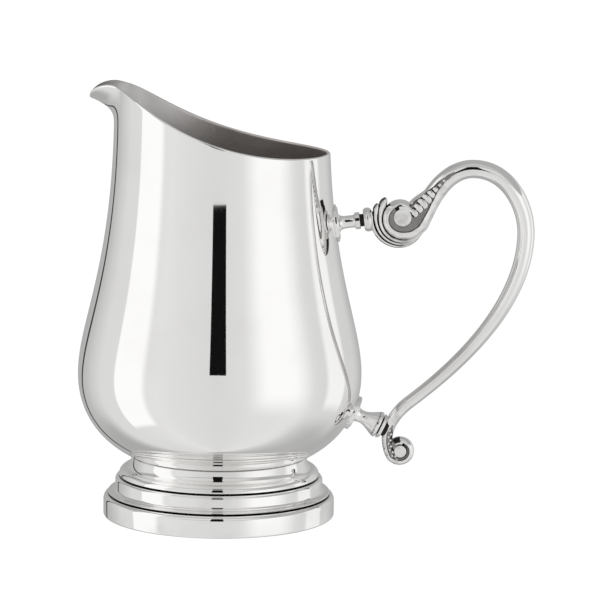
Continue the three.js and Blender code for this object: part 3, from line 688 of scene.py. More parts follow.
def foot_collar():
    lip = (LIP_RADIUS - LIP_ROUND, MIDDLE_TOP + SEAM_BEVEL)
    sweep = acos(1 - COLLAR_FLARE / COLLAR_COVE)
    hollow = (SEAT_RADIUS + COLLAR_COVE, MIDDLE_TOP + LIP_HEIGHT + COLLAR_COVE * sin(sweep))
    runs = [
        skirt(COLLAR_BORE, COLLAR_SKIRT, MIDDLE_TOP, LIP_RADIUS - SEAM_BEVEL),
        arc(lip, LIP_ROUND, LIP_HEIGHT - SEAM_BEVEL, 0, 90, steps=20),
        arc(hollow, COLLAR_COVE, COLLAR_COVE, 180 + degrees(sweep), 180, steps=12),
        [(SEAT_RADIUS, COLLAR_TOP - SEAT_LINE)],
        [(r, BOWL_BASE + rise_at(r) - SEAT_GAP) for r in np.linspace(SEAT_RADIUS, COLLAR_BORE, SEAT_POINTS)],
    ]
    # The line where the bowl sits on the collar is painted grey as shade
    seat = (COLLAR_TOP - SEAT_LINE, COLLAR_TOP + SEAT_LINE, STIPPLE_SHADE)
    return turned_piece(runs, ROUND_SIDES, spans=[seam(MIDDLE_TOP), seat])


class Mount:
    """A frame on the wall whose third axis stands square to the wall, in the plane of the handle."""

    def __init__(self, rise):
        tilt = wall_tilt(rise)
        self.origin = np.array([float(wall_radius(rise)), 0, BOWL_BASE + rise])
        self.axes = np.array([heading(tilt - pi / 2), [0, 1, 0], heading(tilt)])

    def place(self, points):
        return np.asarray(points, float) @ self.axes + self.origin

    def wall_under(self, points):
        """The same points, moved along the axis onto the wall."""
        low = np.array(points, float)
        high = low.copy()
        low[:, 2], high[:, 2] = -UPPER_PATCH_RADIUS, UPPER_PATCH_RADIUS
        for _ in range(BISECTIONS):
            middle = (low + high) / 2
            there = self.place(middle)
            outside = np.hypot(there[:, 0], there[:, 1]) > wall_radius(there[:, 2] - BOWL_BASE)
            high[outside] = middle[outside]
            low[~outside] = middle[~outside]
        return high


upper_mount = Mount(UPPER_MOUNT_RISE)
lower_mount = Mount(LOWER_MOUNT_RISE)


def patch(mount, radius):
    """A round plate with a stepped edge, whose back lies on the wall."""
    edge = PATCH_THICKNESS / 4
    front = PATCH_THICKNESS - PATCH_STEP_DEPTH
    step = (radius - PATCH_STEP - PATCH_STEP_DEPTH, front)
    runs = [
        [(0, 0), (radius / 2, 0), (radius, 0)],
        arc((radius - edge, front - edge), edge, edge, 0, 90, steps=8),
        arc(step, PATCH_STEP_DEPTH, PATCH_STEP_DEPTH, 0, 90, steps=8),
        [(0, PATCH_THICKNESS)],
    ]
    made = turned_piece(runs, STEM_SIDES, radius=PATCH_ROUND)
    points = made.points[0]
    back = points[:, 2] == 0
    points[back] = mount.wall_under(points[back]) + [0, 0, PATCH_LIFT]
    made.points[0] = mount.place(points)
    return made


# Lengths along the upper mount's axis
STEM_FOOT = PATCH_THICKNESS
UPPER_STEM_END = PATCH_THICKNESS + SOLDER_GAP + UPPER_STEM_LENGTH
UPPER_FERRULE_FOOT = UPPER_STEM_END + SOLDER_GAP
UPPER_FERRULE_END = UPPER_FERRULE_FOOT + UPPER_FERRULE_LENGTH


def upper_stem():
    head_end = UPPER_STEM_END - UPPER_GROOVE_LENGTH
    cove = (UPPER_STEM_HEAD, head_end - UPPER_HEAD_LENGTH - UPPER_COVE_LENGTH)
    flare = Bezier(
        (UPPER_STEM_FOOT, STEM_FOOT),
        (UPPER_STEM_NECK, STEM_FOOT),
        (UPPER_STEM_NECK, STEM_FOOT + UPPER_FLARE_LENGTH / 2),
        (UPPER_STEM_NECK, STEM_FOOT + UPPER_FLARE_LENGTH),
    )
    runs = [
        [(0, STEM_FOOT)],
        flare.at(np.linspace(0, 1, FLARE_POINTS)),
        arc(cove, UPPER_STEM_HEAD - UPPER_STEM_NECK, UPPER_COVE_LENGTH, 180, 90),
        [(UPPER_STEM_HEAD, head_end), (UPPER_STEM_NECK, head_end)],
        [(UPPER_STEM_NECK, UPPER_FERRULE_FOOT), (0, UPPER_FERRULE_FOOT)],
    ]
    # The groove under the ferrule is painted black as shade
    groove = (head_end - EDGE_ROUND / 2, UPPER_FERRULE_END, BLACK_SHADE)
    return turned_piece(runs, STEM_SIDES, upper_mount.place, [groove])


def upper_ferrule():
    half = UPPER_FERRULE_LENGTH / 2
    long_half = half + UPPER_FERRULE_GROWTH / 2
    centre = (UPPER_FERRULE_RADIUS - half, UPPER_FERRULE_FOOT + long_half)
    runs = [
        [(0, UPPER_FERRULE_FOOT)],
        arc(centre, half, long_half, -90, 90, steps=20),
        [(0, UPPER_FERRULE_END + UPPER_FERRULE_GROWTH)],
    ]
    return turned_piece(runs, STEM_SIDES, upper_mount.place)


# Lengths along the lower mount's axis: the end of its solid ferrule, then the rings, which lie further back
LOWER_FERRULE_END = PATCH_THICKNESS + LOWER_STEM_LENGTH + 2 * SOLDER_GAP + LOWER_FERRULE_LENGTH
LOWER_RING_END = LOWER_FERRULE_END - LOWER_RINGS_BACK
LOWER_RING_FOOT = LOWER_RING_END - LOWER_FERRULE_LENGTH
LOWER_BELL_END = LOWER_RING_FOOT - SOLDER_GAP


def lower_stem():
    half = LOWER_STEM_BEAD / 2
    rim = arc((LOWER_STEM_BELL - half, LOWER_BELL_END - half), half, half, LOWER_RIM_START, 90, steps=14)
    bell = Bezier(
        (LOWER_STEM_FOOT, STEM_FOOT),
        (2 * LOWER_STEM_NECK - LOWER_STEM_FOOT, STEM_FOOT + LOWER_NECK_PULL),
        (LOWER_STEM_NECK + LOWER_BELL_SWELL, rim[0][1] - LOWER_BELL_PULL),
        rim[0],
    )
    runs = [
        [(0, STEM_FOOT)],
        bell.at(np.linspace(0, 1, BELL_POINTS)),
        rim[1:],
        [(LOWER_BOSS_RADIUS, LOWER_BELL_END), (LOWER_BOSS_RADIUS, LOWER_RING_FOOT), (0, LOWER_RING_FOOT)],
    ]
    # The groove under the rings is painted black as shade, and a band near the bell's rim grey as shade
    groove = (LOWER_BELL_END - EDGE_ROUND / 2, LOWER_RING_END, BLACK_SHADE)
    return turned_piece(runs, STEM_SIDES, lower_mount.place, [(*BELL_SHADE_SPAN, STIPPLE_SHADE), groove])


def lower_ferrule():
    half = LOWER_FERRULE_LENGTH / 4
    radius = LOWER_FERRULE_RADIUS - half
    wide = (radius, LOWER_RING_FOOT + half)
    narrow = (radius - LOWER_FERRULE_TAPER, LOWER_RING_FOOT + 3 * half)
    runs = [
        [(0, LOWER_RING_FOOT)],
        arc(wide, half, half, -90, LOWER_RING_TURN, steps=14),
        arc(narrow, half, half, -LOWER_RING_TURN, 90, steps=14),
        [(0, LOWER_RING_END)],
    ]
    return turned_piece(runs, STEM_SIDES, lower_mount.place, radius=FERRULE_ROUND)


# The eyes of the two scrolls
WRAP_REACH = SCROLL_RADIUS + len(WRAP_TIPS) * WRAP_STEP
upper_eye = upper_mount.place([0, 0, UPPER_FERRULE_END + SOLDER_GAP + WRAP_REACH]) - [0, 0, SCROLL_DROP]
lower_eye = lower_mount.place([0, 0, LOWER_FERRULE_END]) + [CURL_OUT, 0, -CURL_DROP]
SCROLL_INNER = EYE_RADIUS - EYE_BITE - EYE_LIFT
CURL_INNER = CURL_EYE_RADIUS - EYE_BITE


def scroll_outer(shares):
    tuck = np.maximum(0, 1 - shares / SCROLL_TUCK_SHARE) ** 2
    return SCROLL_RADIUS - SCROLL_TUCK * tuck + SCROLL_SPREAD * shares**SCROLL_SPREAD_POWER


def curl_outer(shares):
    return CURL_RADIUS + CURL_SPREAD * (1 - shares) ** CURL_SPREAD_POWER


def spiral(eye, start, end, outer, inner):
    """Points round an eye, half way between a band's two edges, at even shares."""
    shares = np.linspace(0, 1, CURVE_SAMPLES)
    angles = start + (end - start) * shares
    radius = (outer(shares) + inner) / 2
    return eye + radius[:, None] * heading(angles)


def beside(point, out, up):
    return np.array([point[0] + out, 0, point[2] + up])


class HandleLine:
    """The middle of the handle, out of the upper eye and into the lower one, by the distance along it."""

    def __init__(self):
        scroll = spiral(upper_eye, SCROLL_START, SCROLL_END, scroll_outer, SCROLL_INNER)
        curl = spiral(lower_eye, CURL_START, CURL_END, curl_outer, CURL_INNER)
        arch = beside(upper_eye, *ARCH_PLACE)
        grip = beside(upper_eye, *GRIP_PLACE)
        tail = beside(lower_eye, *TAIL_PLACE)
        tail_lean = heading(TAIL_SLOPE)
        past_scroll = scroll[-1] + NECK_LEAD * unit(scroll[-1] - scroll[-2])
        before_curl = curl[0] - CURL_LEAD * unit(curl[1] - curl[0])
        curves = [
            Bezier(scroll[-1], past_scroll, beside(arch, -ARCH_LEAD, 0), arch),
            Bezier(arch, beside(arch, ARCH_TRAIL, 0), beside(grip, 0, GRIP_LEAD), grip),
            Bezier(grip, beside(grip, 0, -GRIP_TRAIL), tail + TAIL_LEAD * tail_lean, tail),
            Bezier(tail, tail - TAIL_TRAIL * tail_lean, before_curl, curl[0]),
        ]
        shares = np.linspace(0, 1, CURVE_SAMPLES)
        stretches = [scroll] + [curve.at(shares) for curve in curves] + [curl]
        points = joined(stretches)
        steps = np.linalg.norm(np.diff(points, axis=0), axis=1)
        self.distances = np.concatenate([[0], np.cumsum(steps)])
        tangents = unit(np.gradient(points, self.distances, axis=0))
        self.columns = np.column_stack([points, tangents]).T
        self.stops = self.distances[np.cumsum([len(stretch) - 1 for stretch in stretches])]

    def at(self, distance):
        """A point, and the outward direction across the line there."""
        found = np.array([np.interp(distance, self.distances, column) for column in self.columns])
        ahead = unit(found[3:])
        return found[:3], np.array([ahead[2], 0, -ahead[0]])


handle_line = HandleLine()
SCROLL_STOP, ARCH_STOP, GRIP_STOP, TAIL_STOP, CURL_STOP, LINE_STOP = handle_line.stops
NECK_STOP = SCROLL_STOP + NECK_SHARE * (ARCH_STOP - SCROLL_STOP)


def eased(stops, distance):
    """A size that eases from stop to stop along the line, from (distance, size) pairs."""
    for (start, before), (end, after) in zip(stops, stops[1:]):
        if distance <= end:
            return before + (after - before) * smooth(max((distance - start) / (end - start), 0))
    return stops[-1][1]


WIDTH_STOPS = [
    (SCROLL_STOP, scroll_outer(1) - SCROLL_INNER),
    (ARCH_STOP, ARCH_WIDTH),
    (GRIP_STOP, GRIP_WIDTH),
    (TAIL_STOP, TAIL_WIDTH),
    (CURL_STOP, curl_outer(0) - CURL_INNER),
]
DEPTH_STOPS = [(SCROLL_STOP, SCROLL_DEPTH), (ARCH_STOP, ARCH_DEPTH), (TAIL_STOP, TAIL_DEPTH)]
SQUARE_STOPS = [
    (SCROLL_STOP, BAND_SQUARENESS),
    (ARCH_STOP, ROD_SQUARENESS),
    (TAIL_STOP, ROD_SQUARENESS),
    (CURL_STOP, BAND_SQUARENESS),
]


def band_at(distance):
    """The band's width in the plane of the handle and its depth across it."""
    in_scroll = distance / SCROLL_STOP
    in_curl = (distance - CURL_STOP) / (LINE_STOP - CURL_STOP)
    width = eased(WIDTH_STOPS, distance)
    if in_scroll < 1:
        width = scroll_outer(in_scroll) - SCROLL_INNER
    if in_curl > 0:
        width = curl_outer(in_curl) - CURL_INNER
    return width, eased(DEPTH_STOPS, distance)


def ring_at(distance, across, sideways):
    """Points round the handle's line, from their places across and sideways."""
    point, out = handle_line.at(distance)
    return point + np.outer(across, out) + np.outer(sideways, [0, 1, 0])


def section(sides, squareness):
    """Places across and sideways round a squarish section."""
    turns = circle(sides)
    return [np.sign(way) * np.abs(way) ** squareness for way in (np.cos(turns), np.sin(turns))]


def past(stop, steps):
    """Stops along the line, from steps that are measured past one of its stops."""
    return [(stop + step, size) for step, size in steps]


def scroll_distance(angle):
    return (angle - SCROLL_START) / (SCROLL_END - SCROLL_START) * SCROLL_STOP


def curl_distance(angle):
    return CURL_STOP + (angle - CURL_START) / (CURL_END - CURL_START) * (LINE_STOP - CURL_STOP)


# Where each scroll's channel runs, from its start to its end, and the pit that it starts or ends in
groove_stops = [(scroll_distance(radians(angle)), near) for angle, near in GROOVE_NEARS]
GROOVE_STOP = groove_stops[0][0]
CURL_GROOVE_STOP = curl_distance(CURL_GROOVE_END)
WEB_STOPS = past(SCROLL_STOP, WEB_STEPS)
upper_channel = {
    "near": groove_stops + past(SCROLL_STOP, NEAR_STEPS),
    "far": past(SCROLL_STOP, FAR_STEPS),
    "run": (GROOVE_STOP, SCROLL_STOP + NEAR_STEPS[-1][0]),
    "pit": (GROOVE_STOP, GROOVE_STOP + PIT_LENGTH),
    "depth": CHANNEL_DEPTH,
}
lower_channel = {
    "near": past(CURL_STOP, CURL_NEAR_STEPS),
    "far": past(CURL_STOP, CURL_FAR_STEPS),
    "run": (CURL_STOP + CURL_NEAR_STEPS[0][0], CURL_GROOVE_STOP),
    "pit": (CURL_GROOVE_STOP - CURL_PIT_LENGTH, CURL_GROOVE_STOP),
    "depth": CURL_CHANNEL_DEPTH,
}

# Counts of points on each side of a carved section: edge, near wall, floor, far wall, edge
SECTION_COUNTS = (16, 5, 10, 5, 14)
FLOOR_SPAN = (SECTION_COUNTS[0], sum(SECTION_COUNTS[:4]))


def inner_edge(distance):
    return -band_at(distance)[0] / 2 - max(0, eased(WEB_STOPS, distance))


def face_at(distance, across):
    """Half the band's depth at places across it, rounder on the outer side than beside the eye."""
    width, depth = band_at(distance)
    outer = eased(SQUARE_STOPS, distance)
    inner = eased([(SCROLL_STOP, INNER_SQUARENESS), (SCROLL_STOP + INNER_SQUARE_END, outer)], distance)
    power = np.where(across > 0, 2 / outer, 2 / inner)
    share = np.where(across > 0, 2 * across / width, across / inner_edge(distance))
    return depth / 2 * (1 - np.clip(share, 0, 1) ** power) ** (1 / power)


def within(distance, span):
    return (span[0] <= distance) & (distance < span[1])


def carved_ring(distance, channel):
    """A ring of the band with a channel sunk in both sides."""
    right, left = band_at(distance)[0] / 2, inner_edge(distance)
    near, far = eased(channel["near"], distance), eased(channel["far"], distance)
    low = max(far - CHANNEL_WALL, left)
    limits = [near + CHANNEL_WALL, near, max(far, left), low]
    first = np.cos(np.linspace(0, acos(limits[0] / right), SECTION_COUNTS[0], endpoint=False)) * right
    last = np.cos(np.linspace(acos(min(1, low / left)), 0, SECTION_COUNTS[-1])) * left
    spans = zip(limits, limits[1:], SECTION_COUNTS[1:-1])
    middle = [np.linspace(start, end, count, endpoint=False) for start, end, count in spans]
    across = np.concatenate([first] + middle + [last])
    face = face_at(distance, across)
    deep = min(channel["depth"], (near - far) / 2)
    if within(distance, channel["pit"]):
        deep = PIT_DEPTH
    if not within(distance, channel["run"]):
        deep = 0.0
    near_wall = np.clip((limits[0] - across) / CHANNEL_WALL, 0, 1)
    far_wall = np.clip(1 + (across - far) / CHANNEL_WALL, 0, 1)
    sideways = np.maximum(face - deep * smooth(near_wall * far_wall), 0)
    full_across = np.concatenate([across, across[-2:0:-1]])
    full_sideways = np.concatenate([sideways, -sideways[-2:0:-1]])
    return ring_at(distance, full_across, full_sideways)


def section_finish(distances, channel):
    """The finish of the faces past carved rings: grey stipple with painted shade in the channel, black
    painted shade in its pit.
    """
    floor = np.where(within(distances, channel["run"]), STIPPLE_SHADE, POLISHED)
    floor[within(distances, channel["pit"])] = BLACK_SHADE
    front = np.full((len(distances), sum(SECTION_COUNTS) - 1), POLISHED)
    front[:, FLOOR_SPAN[0] : FLOOR_SPAN[1]] = floor[:, None]
    return np.hstack([front, front[:, ::-1]])


def carved(start, end, count, channel):
    """A scroll's rings, close where its channel starts and ends, and the starts and finish of its faces."""
    marks = [*channel["run"], *channel["pit"]]
    pairs = [mark + step for mark in marks for step in (-CHANNEL_STEP, CHANNEL_STEP)]
    distances = np.sort(np.concatenate([np.linspace(start, end, count), pairs]))
    rings = [carved_ring(distance, channel) for distance in distances]
    return rings, distances[:-1], section_finish(distances[:-1], channel)


def eye(centre, radius, edge, rows=16, sides=64):
    """A button through both sides of a scroll, with a low dome on each."""
    shares = np.linspace(0, 1, rows) * (1 - EYE_CORNER / radius)
    dome = np.column_stack([radius * shares, edge + EYE_RISE * (1 - shares**2)])
    rim = (radius - EYE_CORNER, dome[-1][1] - EYE_CORNER)
    corner = arc(rim, EYE_CORNER, EYE_CORNER, 90, 0, steps=8)[1:]
    half = np.concatenate([dome, corner])
    outline = np.concatenate([half * [1, -1], half[::-1]])
    lay = np.array([[1, 0, 0], [0, 0, -1], [0, 1, 0]])
    return outline, sides, lambda points: points @ lay + centre


def ball(rows):
    """The outline of a ball of radius 1, from pole to pole."""
    turns = np.linspace(-pi / 2, pi / 2, rows + 1)
    outline = np.column_stack([np.cos(turns), np.sin(turns)])
    outline[[0, -1], 0] = 0
    return outline


def leaf(tip_angle, order, rings=72, sides=48):
    """A leaf wrap: a crescent on the outside of the scroll, thick at its tip and thin where it runs out. Its
    underside, and its outer edge where the next leaf covers it or along a span of its length, are painted
    black as shade.
    """
    start = scroll_distance(tip_angle)
    outwards, sideways = section(sides, BAND_SQUARENESS)
    made = []
    finishes = []
    covered = order + 1 < len(WRAP_TIPS)
    for t in np.linspace(0, 1, rings + 1) ** WRAP_CROWDING:
        distance = start + (SCROLL_STOP - WRAP_STAGGER * order - start) * t
        width, depth = band_at(distance)
        lift = max(0, 1 - t / WRAP_FLARE_SHARE) ** 2
        tip = sqrt(min(1, (t + WRAP_BLUNT) / WRAP_TIP_SHARE))
        layer = WRAP_STEP * (order + 0.5) * (1 - t * t) - WRAP_SINK * t**4
        flare = WRAP_FLARE * lift / (1 + order * WRAP_FLARE_FADE)
        thick = (WRAP_STEP * WRAP_THICK * (1 - t * t / 2) + flare / 2) * tip
        side = depth / 2 - WRAP_INSET * (order + 1)
        made.append(ring_at(distance, width / 2 + layer + flare / 2 + thick * outwards, side * sideways))
        # Painted black shade: under the leaf, and over its outer edge where the next leaf covers it or
        # within the span
        shaded = covered or within(t, WRAP_SHADE_SPAN)
        dark = (outwards < WRAP_SHADE_UNDER[order]) | (shaded & (outwards > WRAP_SHADE_OVER[order]))
        finishes.append(np.where(dark, BLACK_SHADE, POLISHED))
    return made, np.array(finishes[:-1])


def add_scales(made):
    """The row of overlapping scales in the channel on both sides, from the eye up the neck, each painted
    black as shade at its end up the row.
    """
    along = heading(SCALE_SLOPE)
    across = heading(SCALE_SLOPE - pi / 2)
    outline = ball(SCALE_ROWS)
    dark = np.outer(outline[1:-2, 1] < SCALE_SHADE_RISE, np.cos(circle(SCALE_SIDES)) > SCALE_SHADE_TURN)
    finish = np.where(dark, BLACK_SHADE, POLISHED)
    for share in np.linspace(0, 1, SCALE_COUNT):
        row = share * SCALE_ROW
        half = eased(SCALE_SIZES, share)
        length = SCALE_LENGTH * sqrt(half / SCALE_SIZES[1][1])
        level = band_at(SCROLL_STOP + row)[1] / 2 - CHANNEL_DEPTH
        for side in (-1, 1):
            normal = np.array([0, side, 0])
            run = cos(SCALE_TILT) * along + sin(SCALE_TILT) * normal
            rise = cos(SCALE_TILT) * normal - sin(SCALE_TILT) * along
            axes = np.array([run * length, across * half, rise * SCALE_HEIGHT])
            axes *= np.sign(np.linalg.det(axes))
            centre = beside(upper_eye, *SCALE_PLACE) + row * along + level * normal
            made.turned(outline, SCALE_SIDES, lambda points, a=axes, c=centre: points @ a + c, finish)


def upper_scroll():
    rings, _, finish = carved(0, NECK_STOP, SCROLL_RINGS, upper_channel)
    made = Skin().loft(rings, finish)
    for order, tip in enumerate(WRAP_TIPS):
        made.loft(*leaf(tip, order))
    made.turned(*eye(beside(upper_eye, 0, EYE_LIFT), EYE_RADIUS, SCROLL_DEPTH / 2))
    add_scales(made)
    return made


def handle_rod():
    full = [(NECK_STOP + ROD_SWELL_RUN, ROD_SWELL), (TAIL_STOP - ROD_SWELL_RUN, ROD_SWELL)]
    swell_stops = [(NECK_STOP, 1), *full, (TAIL_STOP, 1)]
    rings = []
    for distance in np.linspace(NECK_STOP, TAIL_STOP, ROD_RINGS):
        width, depth = band_at(distance)
        across, sideways = section(ROD_SIDES, eased(SQUARE_STOPS, distance))
        reach = depth / 2 * eased(swell_stops, distance)
        rings.append(ring_at(distance, width / 2 * across, reach * sideways))
    return Skin().loft(rings)


def paint_shade(finish, rows, points):
    """Paints black shade on the outer edge of some rows of a carved band, so many points from its middle to
    each side.
    """
    finish[rows, :points] = BLACK_SHADE
    finish[rows, -points:] = BLACK_SHADE


def lower_scroll():
    rings, starts, finish = carved(TAIL_STOP, LINE_STOP, CURL_RINGS, lower_channel)
    paint_shade(finish, starts > curl_distance(CURL_SHADE_START), SECTION_COUNTS[0])
    paint_shade(finish, within(starts - CURL_STOP, TAIL_SHADE_SPAN), TAIL_SHADE_POINTS)
    made = Skin().loft(rings, finish)
    made.turned(*eye(lower_eye, CURL_EYE_RADIUS, TAIL_DEPTH / 2))
    # The button sunk in the web between the curl and the tail is grey stipple painted as shade
    web = lower_eye + CURL_WEB_OUT * heading(CURL_WEB_ANGLE)
    made.turned(*eye(web, CURL_WEB_RADIUS, CURL_WEB_DEPTH), STIPPLE_SHADE)
    # The boss behind the lower rings is painted black as shade
    boss = [(0, LOWER_RING_END), (LOWER_BOSS_RADIUS, LOWER_RING_END)]
    boss += [(LOWER_BOSS_RADIUS, LOWER_BOSS_END), (0, LOWER_BOSS_END)]
    made.turned(rounded(boss), STEM_SIDES, lower_mount.place, BLACK_SHADE)
    for i, distance in enumerate(CURL_STOP + np.linspace(*BEADS_SPAN, BEAD_COUNT)):
        point, out = handle_line.at(distance)
        level = band_at(distance)[1] / 2 - CURL_CHANNEL_DEPTH
        for side in (-1, 1):
            centre = point + BEAD_OFFS[i % 2] * out + [0, side * level, 0]
            made.turned(BEAD_RADIUS * ball(BEAD_ROWS), BEAD_SIDES, lambda points, c=centre: points + c)
    return made


def node(tree, kind, inputs=None, **settings):
    """A new node with its settings, and its inputs set or linked by name or number."""
    made = tree.nodes.new("ShaderNode" + kind)
    for name, value in settings.items():
        setattr(made, name, value)
    for key, value in (inputs or {}).items():
        if isinstance(value, bpy.types.NodeSocket):
            tree.links.new(value, made.inputs[key])
        else:
            made.inputs[key].default_value = value
    return made


def math_node(tree, operation, *values):
    return node(tree, "Math", dict(enumerate(values)), operation=operation).outputs[0]


def mapped(tree, value, span, results, smooth_ends=True):
    """A value mapped from a span to two results, eased and kept inside."""
    inputs = {"Value": value, 1: span[0], 2: span[1], 3: results[0], 4: results[1]}
    style = "SMOOTHSTEP" if smooth_ends else "LINEAR"
    return node(tree, "MapRange", inputs, interpolation_type=style, clamp=True).outputs[0]


def mixed(tree, share, first, second):
    inputs = {"Factor": share, "A": first, "B": second}
    return node(tree, "Mix", inputs, data_type="RGBA").outputs["Result"]


def noise(tree, scale, detail=3, **places):
    return node(tree, "TexNoise", {"Scale": scale, "Detail": detail, **places}).outputs["Fac"]


def plug(tree, output, socket, into="Principled BSDF"):
    tree.links.new(output, tree.nodes[into].inputs[socket])


def grey(tone):
    return (tone, tone, tone, 1)


def new_material(name):
    material = bpy.data.materials.new(name)
    material.use_nodes = True
    return material, material.node_tree


def polish(name, roughness, rub=(1, 1, 1), cloud_scale=CLOUD_SCALE, patina=PATINA):
    """A metal with rubbing marks, still without its colour, and its tarnish, in clouds and recesses."""
    material, tree = new_material(name)
    places = node(tree, "TexCoord").outputs["Object"]
    clouds = noise(tree, cloud_scale, detail=4, Vector=places)
    stretched = node(tree, "Mapping", {"Vector": places, "Scale": rub}).outputs[0]
    rubbing = noise(tree, RUB_SCALE, Vector=stretched)
    hollows = node(tree, "NewGeometry").outputs["Pointiness"]
    recess = mapped(tree, hollows, RECESS_SPAN, (1, 0))
    tarnish = math_node(tree, "MAXIMUM", mapped(tree, clouds, CLOUD_SPAN, (0, patina)), recess)
    worn = mapped(tree, rubbing, RUB_SPAN, (roughness, roughness * RUB_DULLING))
    plug(tree, math_node(tree, "MULTIPLY_ADD", tarnish, roughness, worn), "Roughness")
    tree.nodes["Principled BSDF"].inputs["Metallic"].default_value = 1
    return material, tree, places, tarnish


def silver(name, bright, dull, roughness, **marks):
    """Polished silver, with a bright tone and a dull one where it is tarnished."""
    material, tree, _, tarnish = polish(name, roughness, **marks)
    plug(tree, mixed(tree, tarnish, bright, dull), "Base Color")
    return material


def satin(name, shaded_spout_tone, lit_handle_tone):
    """The satin inside of the body, with painted light and shade: paler and warmer towards the handle,
    darker towards the spout, and painted dark as shade in the beak.
    """
    material, tree, places, _ = polish(name, SATIN_ROUGHNESS, SATIN_RUB)
    out = node(tree, "SeparateXYZ", {0: places}).outputs["X"]
    tip, spout, handle = AXIS[0] + np.array([TIP[0], -NECK_RADIUS, NECK_RADIUS]) * MM
    wall = mixed(tree, mapped(tree, out, (spout, handle), (0, 1)), shaded_spout_tone, lit_handle_tone)
    plug(tree, mixed(tree, mapped(tree, out, (tip, spout), (1, 0)), wall, BEAK_SHADE_TONE), "Base Color")
    return material


def shaded_stipple(name, tone, dark):
    """Stippled metal whose dark tone is painted shade, for channels, pits and seams."""
    material, tree, places, tarnish = polish(name, STIPPLE_ROUGHNESS)
    plug(tree, mixed(tree, tarnish, tone, dark), "Base Color")
    cells = node(tree, "TexVoronoi", {"Vector": places, "Scale": STIPPLE_SCALE}).outputs["Distance"]
    inputs = {"Height": cells, "Strength": STIPPLE_STRENGTH, "Distance": STIPPLE_DEPTH}
    plug(tree, node(tree, "Bump", inputs).outputs[0], "Normal")
    return material


body_mirror = silver("body_mirror", (0.95, 0.945, 0.935, 1), (0.88, 0.87, 0.85, 1), 0.018, rub=LEVEL_RUB)
body_inside = satin("body_inside", (0.56, 0.55, 0.54, 1), (0.8, 0.745, 0.715, 1))
foot_mirror = silver("foot_mirror", (0.94, 0.935, 0.925, 1), (0.6, 0.59, 0.57, 1), 0.022, rub=LEVEL_RUB)
turned_mirror = silver("turned_mirror", (0.93, 0.925, 0.915, 1), (0.45, 0.44, 0.42, 1), 0.03, rub=STEM_RUB)
grip_polish = silver("grip_polish", (0.93, 0.925, 0.915, 1), (0.75, 0.74, 0.72, 1), 0.035, rub=GRIP_RUB)
cast_marks = {"cloud_scale": 420, "patina": 0.3}
cast_polish = silver("cast_polish", (0.9, 0.895, 0.885, 1), (0.3, 0.29, 0.28, 1), 0.05, **cast_marks)
# Grey painted shade over the stipple of channel floors and sunk places, and near-black painted shade for
# pits, grooves, seams and shaded edges
cast_stipple_shade = shaded_stipple("cast_stipple_shade", (0.34, 0.33, 0.32, 1), (0.2, 0.19, 0.18, 1))
cast_black_shade = shaded_stipple("cast_black_shade", (0.03, 0.028, 0.026, 1), (0.02, 0.02, 0.02, 1))
foot_finishes, turned_finishes, cast_finishes = [
    [polished, cast_stipple_shade, cast_black_shade] for polished in (foot_mirror, turned_mirror, cast_polish)
]

upper_patch = patch(upper_mount, UPPER_PATCH_RADIUS)
lower_patch = patch(lower_mount, LOWER_PATCH_RADIUS)
body_shell().piece("body_shell_spun", "body_shell", "body_silver", [body_mirror, body_inside])
foot_plinth().piece("foot_plinth_turned", "foot_plinth", "foot_silver", [foot_mirror])
foot_middle().piece("foot_middle_turned", "foot_middle", "foot_silver", foot_finishes)
foot_collar().piece("foot_collar_turned", "foot_collar", "foot_silver", foot_finishes)
upper_patch.piece("upper_patch_plate", "upper_patch", "turned_silver", [turned_mirror])
upper_stem().piece("upper_stem_turned", "upper_stem", "turned_silver", turned_finishes)
upper_ferrule().piece("upper_ferrule_ring", "upper_ferrule", "turned_silver", [turned_mirror])
lower_patch.piece("lower_patch_plate", "lower_patch", "turned_silver", [turned_mirror])
lower_stem().piece("lower_stem_turned", "lower_stem", "turned_silver", turned_finishes)
lower_ferrule().piece("lower_ferrule_rings", "lower_ferrule", "turned_silver", [turned_mirror])
upper_scroll().piece("upper_scroll_cast", "upper_scroll", "cast_silver", cast_finishes)
handle_rod().piece("handle_rod_cast", "handle_rod", "grip_silver", [grip_polish])
lower_scroll().piece("lower_scroll_cast", "lower_scroll", "cast_silver", cast_finishes)


def light_tent():
    """A world of soft tent walls, which the camera itself sees as plain white."""
    world = bpy.data.worlds.new("light_tent")
    bpy.context.scene.world = world
    world.use_nodes = True
    tree = world.node_tree
    ways = node(tree, "SeparateXYZ", {0: node(tree, "TexCoord").outputs["Generated"]})
    towards = math_node(tree, "MULTIPLY", ways.outputs["Y"], -1.0)
    around = math_node(tree, "DEGREES", math_node(tree, "ARCTAN2", ways.outputs["X"], towards))
    height = math_node(tree, "DEGREES", math_node(tree, "ARCSINE", ways.outputs["Z"]))
    turn = mapped(tree, around, (-180, 180), (0, 1), smooth_ends=False)
    ramp = node(tree, "ValToRGB", {"Fac": turn})
    stops = ramp.color_ramp.elements
    for end in stops:
        end.color = grey(TENT_BACK)
    for angle, tone in TENT_WALLS:
        stops.new(angle / 360 + 0.5).color = grey(tone)
    colour = ramp.outputs[0]
    for card in TENT_CARDS:
        leaned = math_node(tree, "MULTIPLY_ADD", height, -card.get("lean", 0.0), around)
        share = 1.0
        for edge, value, results in (
            ("from", leaned, (0, 1)),
            ("to", leaned, (1, 0)),
            ("up_from", height, (0, 1)),
            ("up_to", height, (1, 0)),
        ):
            if edge in card:
                share = math_node(tree, "MULTIPLY", share, mapped(tree, value, card[edge], results))
        colour = mixed(tree, share, colour, grey(card["tone"]))
    seen = node(tree, "LightPath").outputs["Is Camera Ray"]
    plug(tree, mixed(tree, seen, colour, grey(1)), "Color", into="Background")


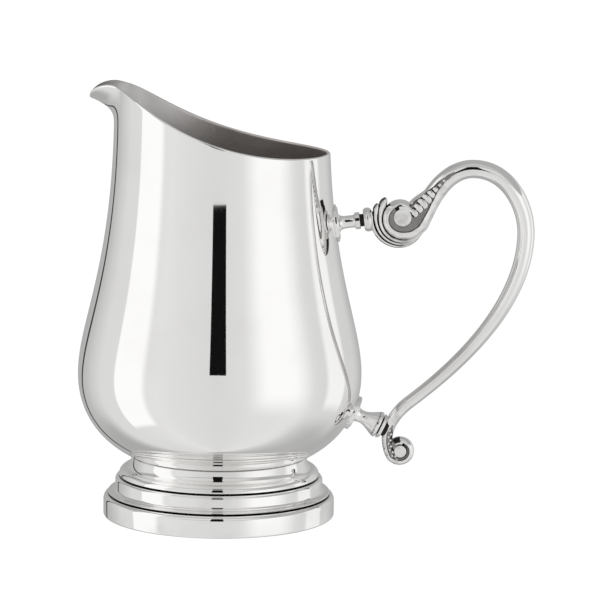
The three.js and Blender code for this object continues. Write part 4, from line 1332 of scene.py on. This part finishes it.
def sheet(name, low, high, material):
    """A flat piece of the stage between two opposite corners."""
    mesh = bpy.data.meshes.new(name)
    mesh.from_pydata([low, (high[0], *low[1:]), high, (low[0], *high[1:])], [], [(0, 1, 2, 3)])
    mesh.materials.append(material)
    made = new_object(name, mesh)
    return made


def slit():
    """The dark slit, which shows in the silver alone."""
    material, tree = new_material("slit_dark")
    dark = node(tree, "Emission", {"Color": grey(SLIT_TONE), "Strength": 1.0})
    plug(tree, dark.outputs[0], "Surface", into="Material Output")
    made = sheet("slit", *(np.array([SLIT_FROM, SLIT_TO]) * MM + AXIS), material)
    made.visible_camera = False
    made.visible_diffuse = False
    made.visible_shadow = False


def floor():
    """A pale floor that the camera sees as nearly white, with the jug's soft shadow on it."""
    material, tree = new_material("floor_paper")
    shader = tree.nodes["Principled BSDF"]
    grain = noise(tree, FLOOR_GRAIN_SCALE)
    share = mapped(tree, grain, FLOOR_GRAIN_SPAN, (0, 1))
    plug(tree, mixed(tree, share, grey(FLOOR_TONE), grey(FLOOR_GRAIN_TONE)), "Base Color")
    shader.inputs["Roughness"].default_value = FLOOR_ROUGHNESS
    white = node(tree, "Emission", {"Color": grey(1), "Strength": FLOOR_GLOW})
    seen = node(tree, "LightPath").outputs["Is Camera Ray"]
    share = math_node(tree, "MULTIPLY", seen, 1 - SHADOW_SHARE)
    both = node(tree, "MixShader", {0: share, 1: shader.outputs[0], 2: white.outputs[0]})
    plug(tree, both.outputs[0], "Surface", into="Material Output")
    made = sheet("floor", (-FLOOR_REACH, -FLOOR_REACH, 0), (FLOOR_REACH, FLOOR_REACH, 0), material)
    made.visible_glossy = False


def camera():
    data = bpy.data.cameras.new("camera")
    data.lens = CAMERA_LENS
    data.sensor_width = CAMERA_SENSOR
    yaw = Matrix.Rotation(-CAMERA_YAW, 4, "Z")
    pitch = Matrix.Rotation(pi / 2 - CAMERA_PITCH, 4, "X")
    roll = Matrix.Rotation(CAMERA_ROLL, 4, "Z")
    place = Matrix.Translation(np.array(CAMERA_PLACE) * MM + AXIS)
    made = new_object("camera", data)
    made.matrix_world = place @ yaw @ pitch @ roll
    bpy.context.scene.camera = made


light_tent()
slit()
floor()
camera()
bpy.context.scene.view_settings.view_transform = "Standard"
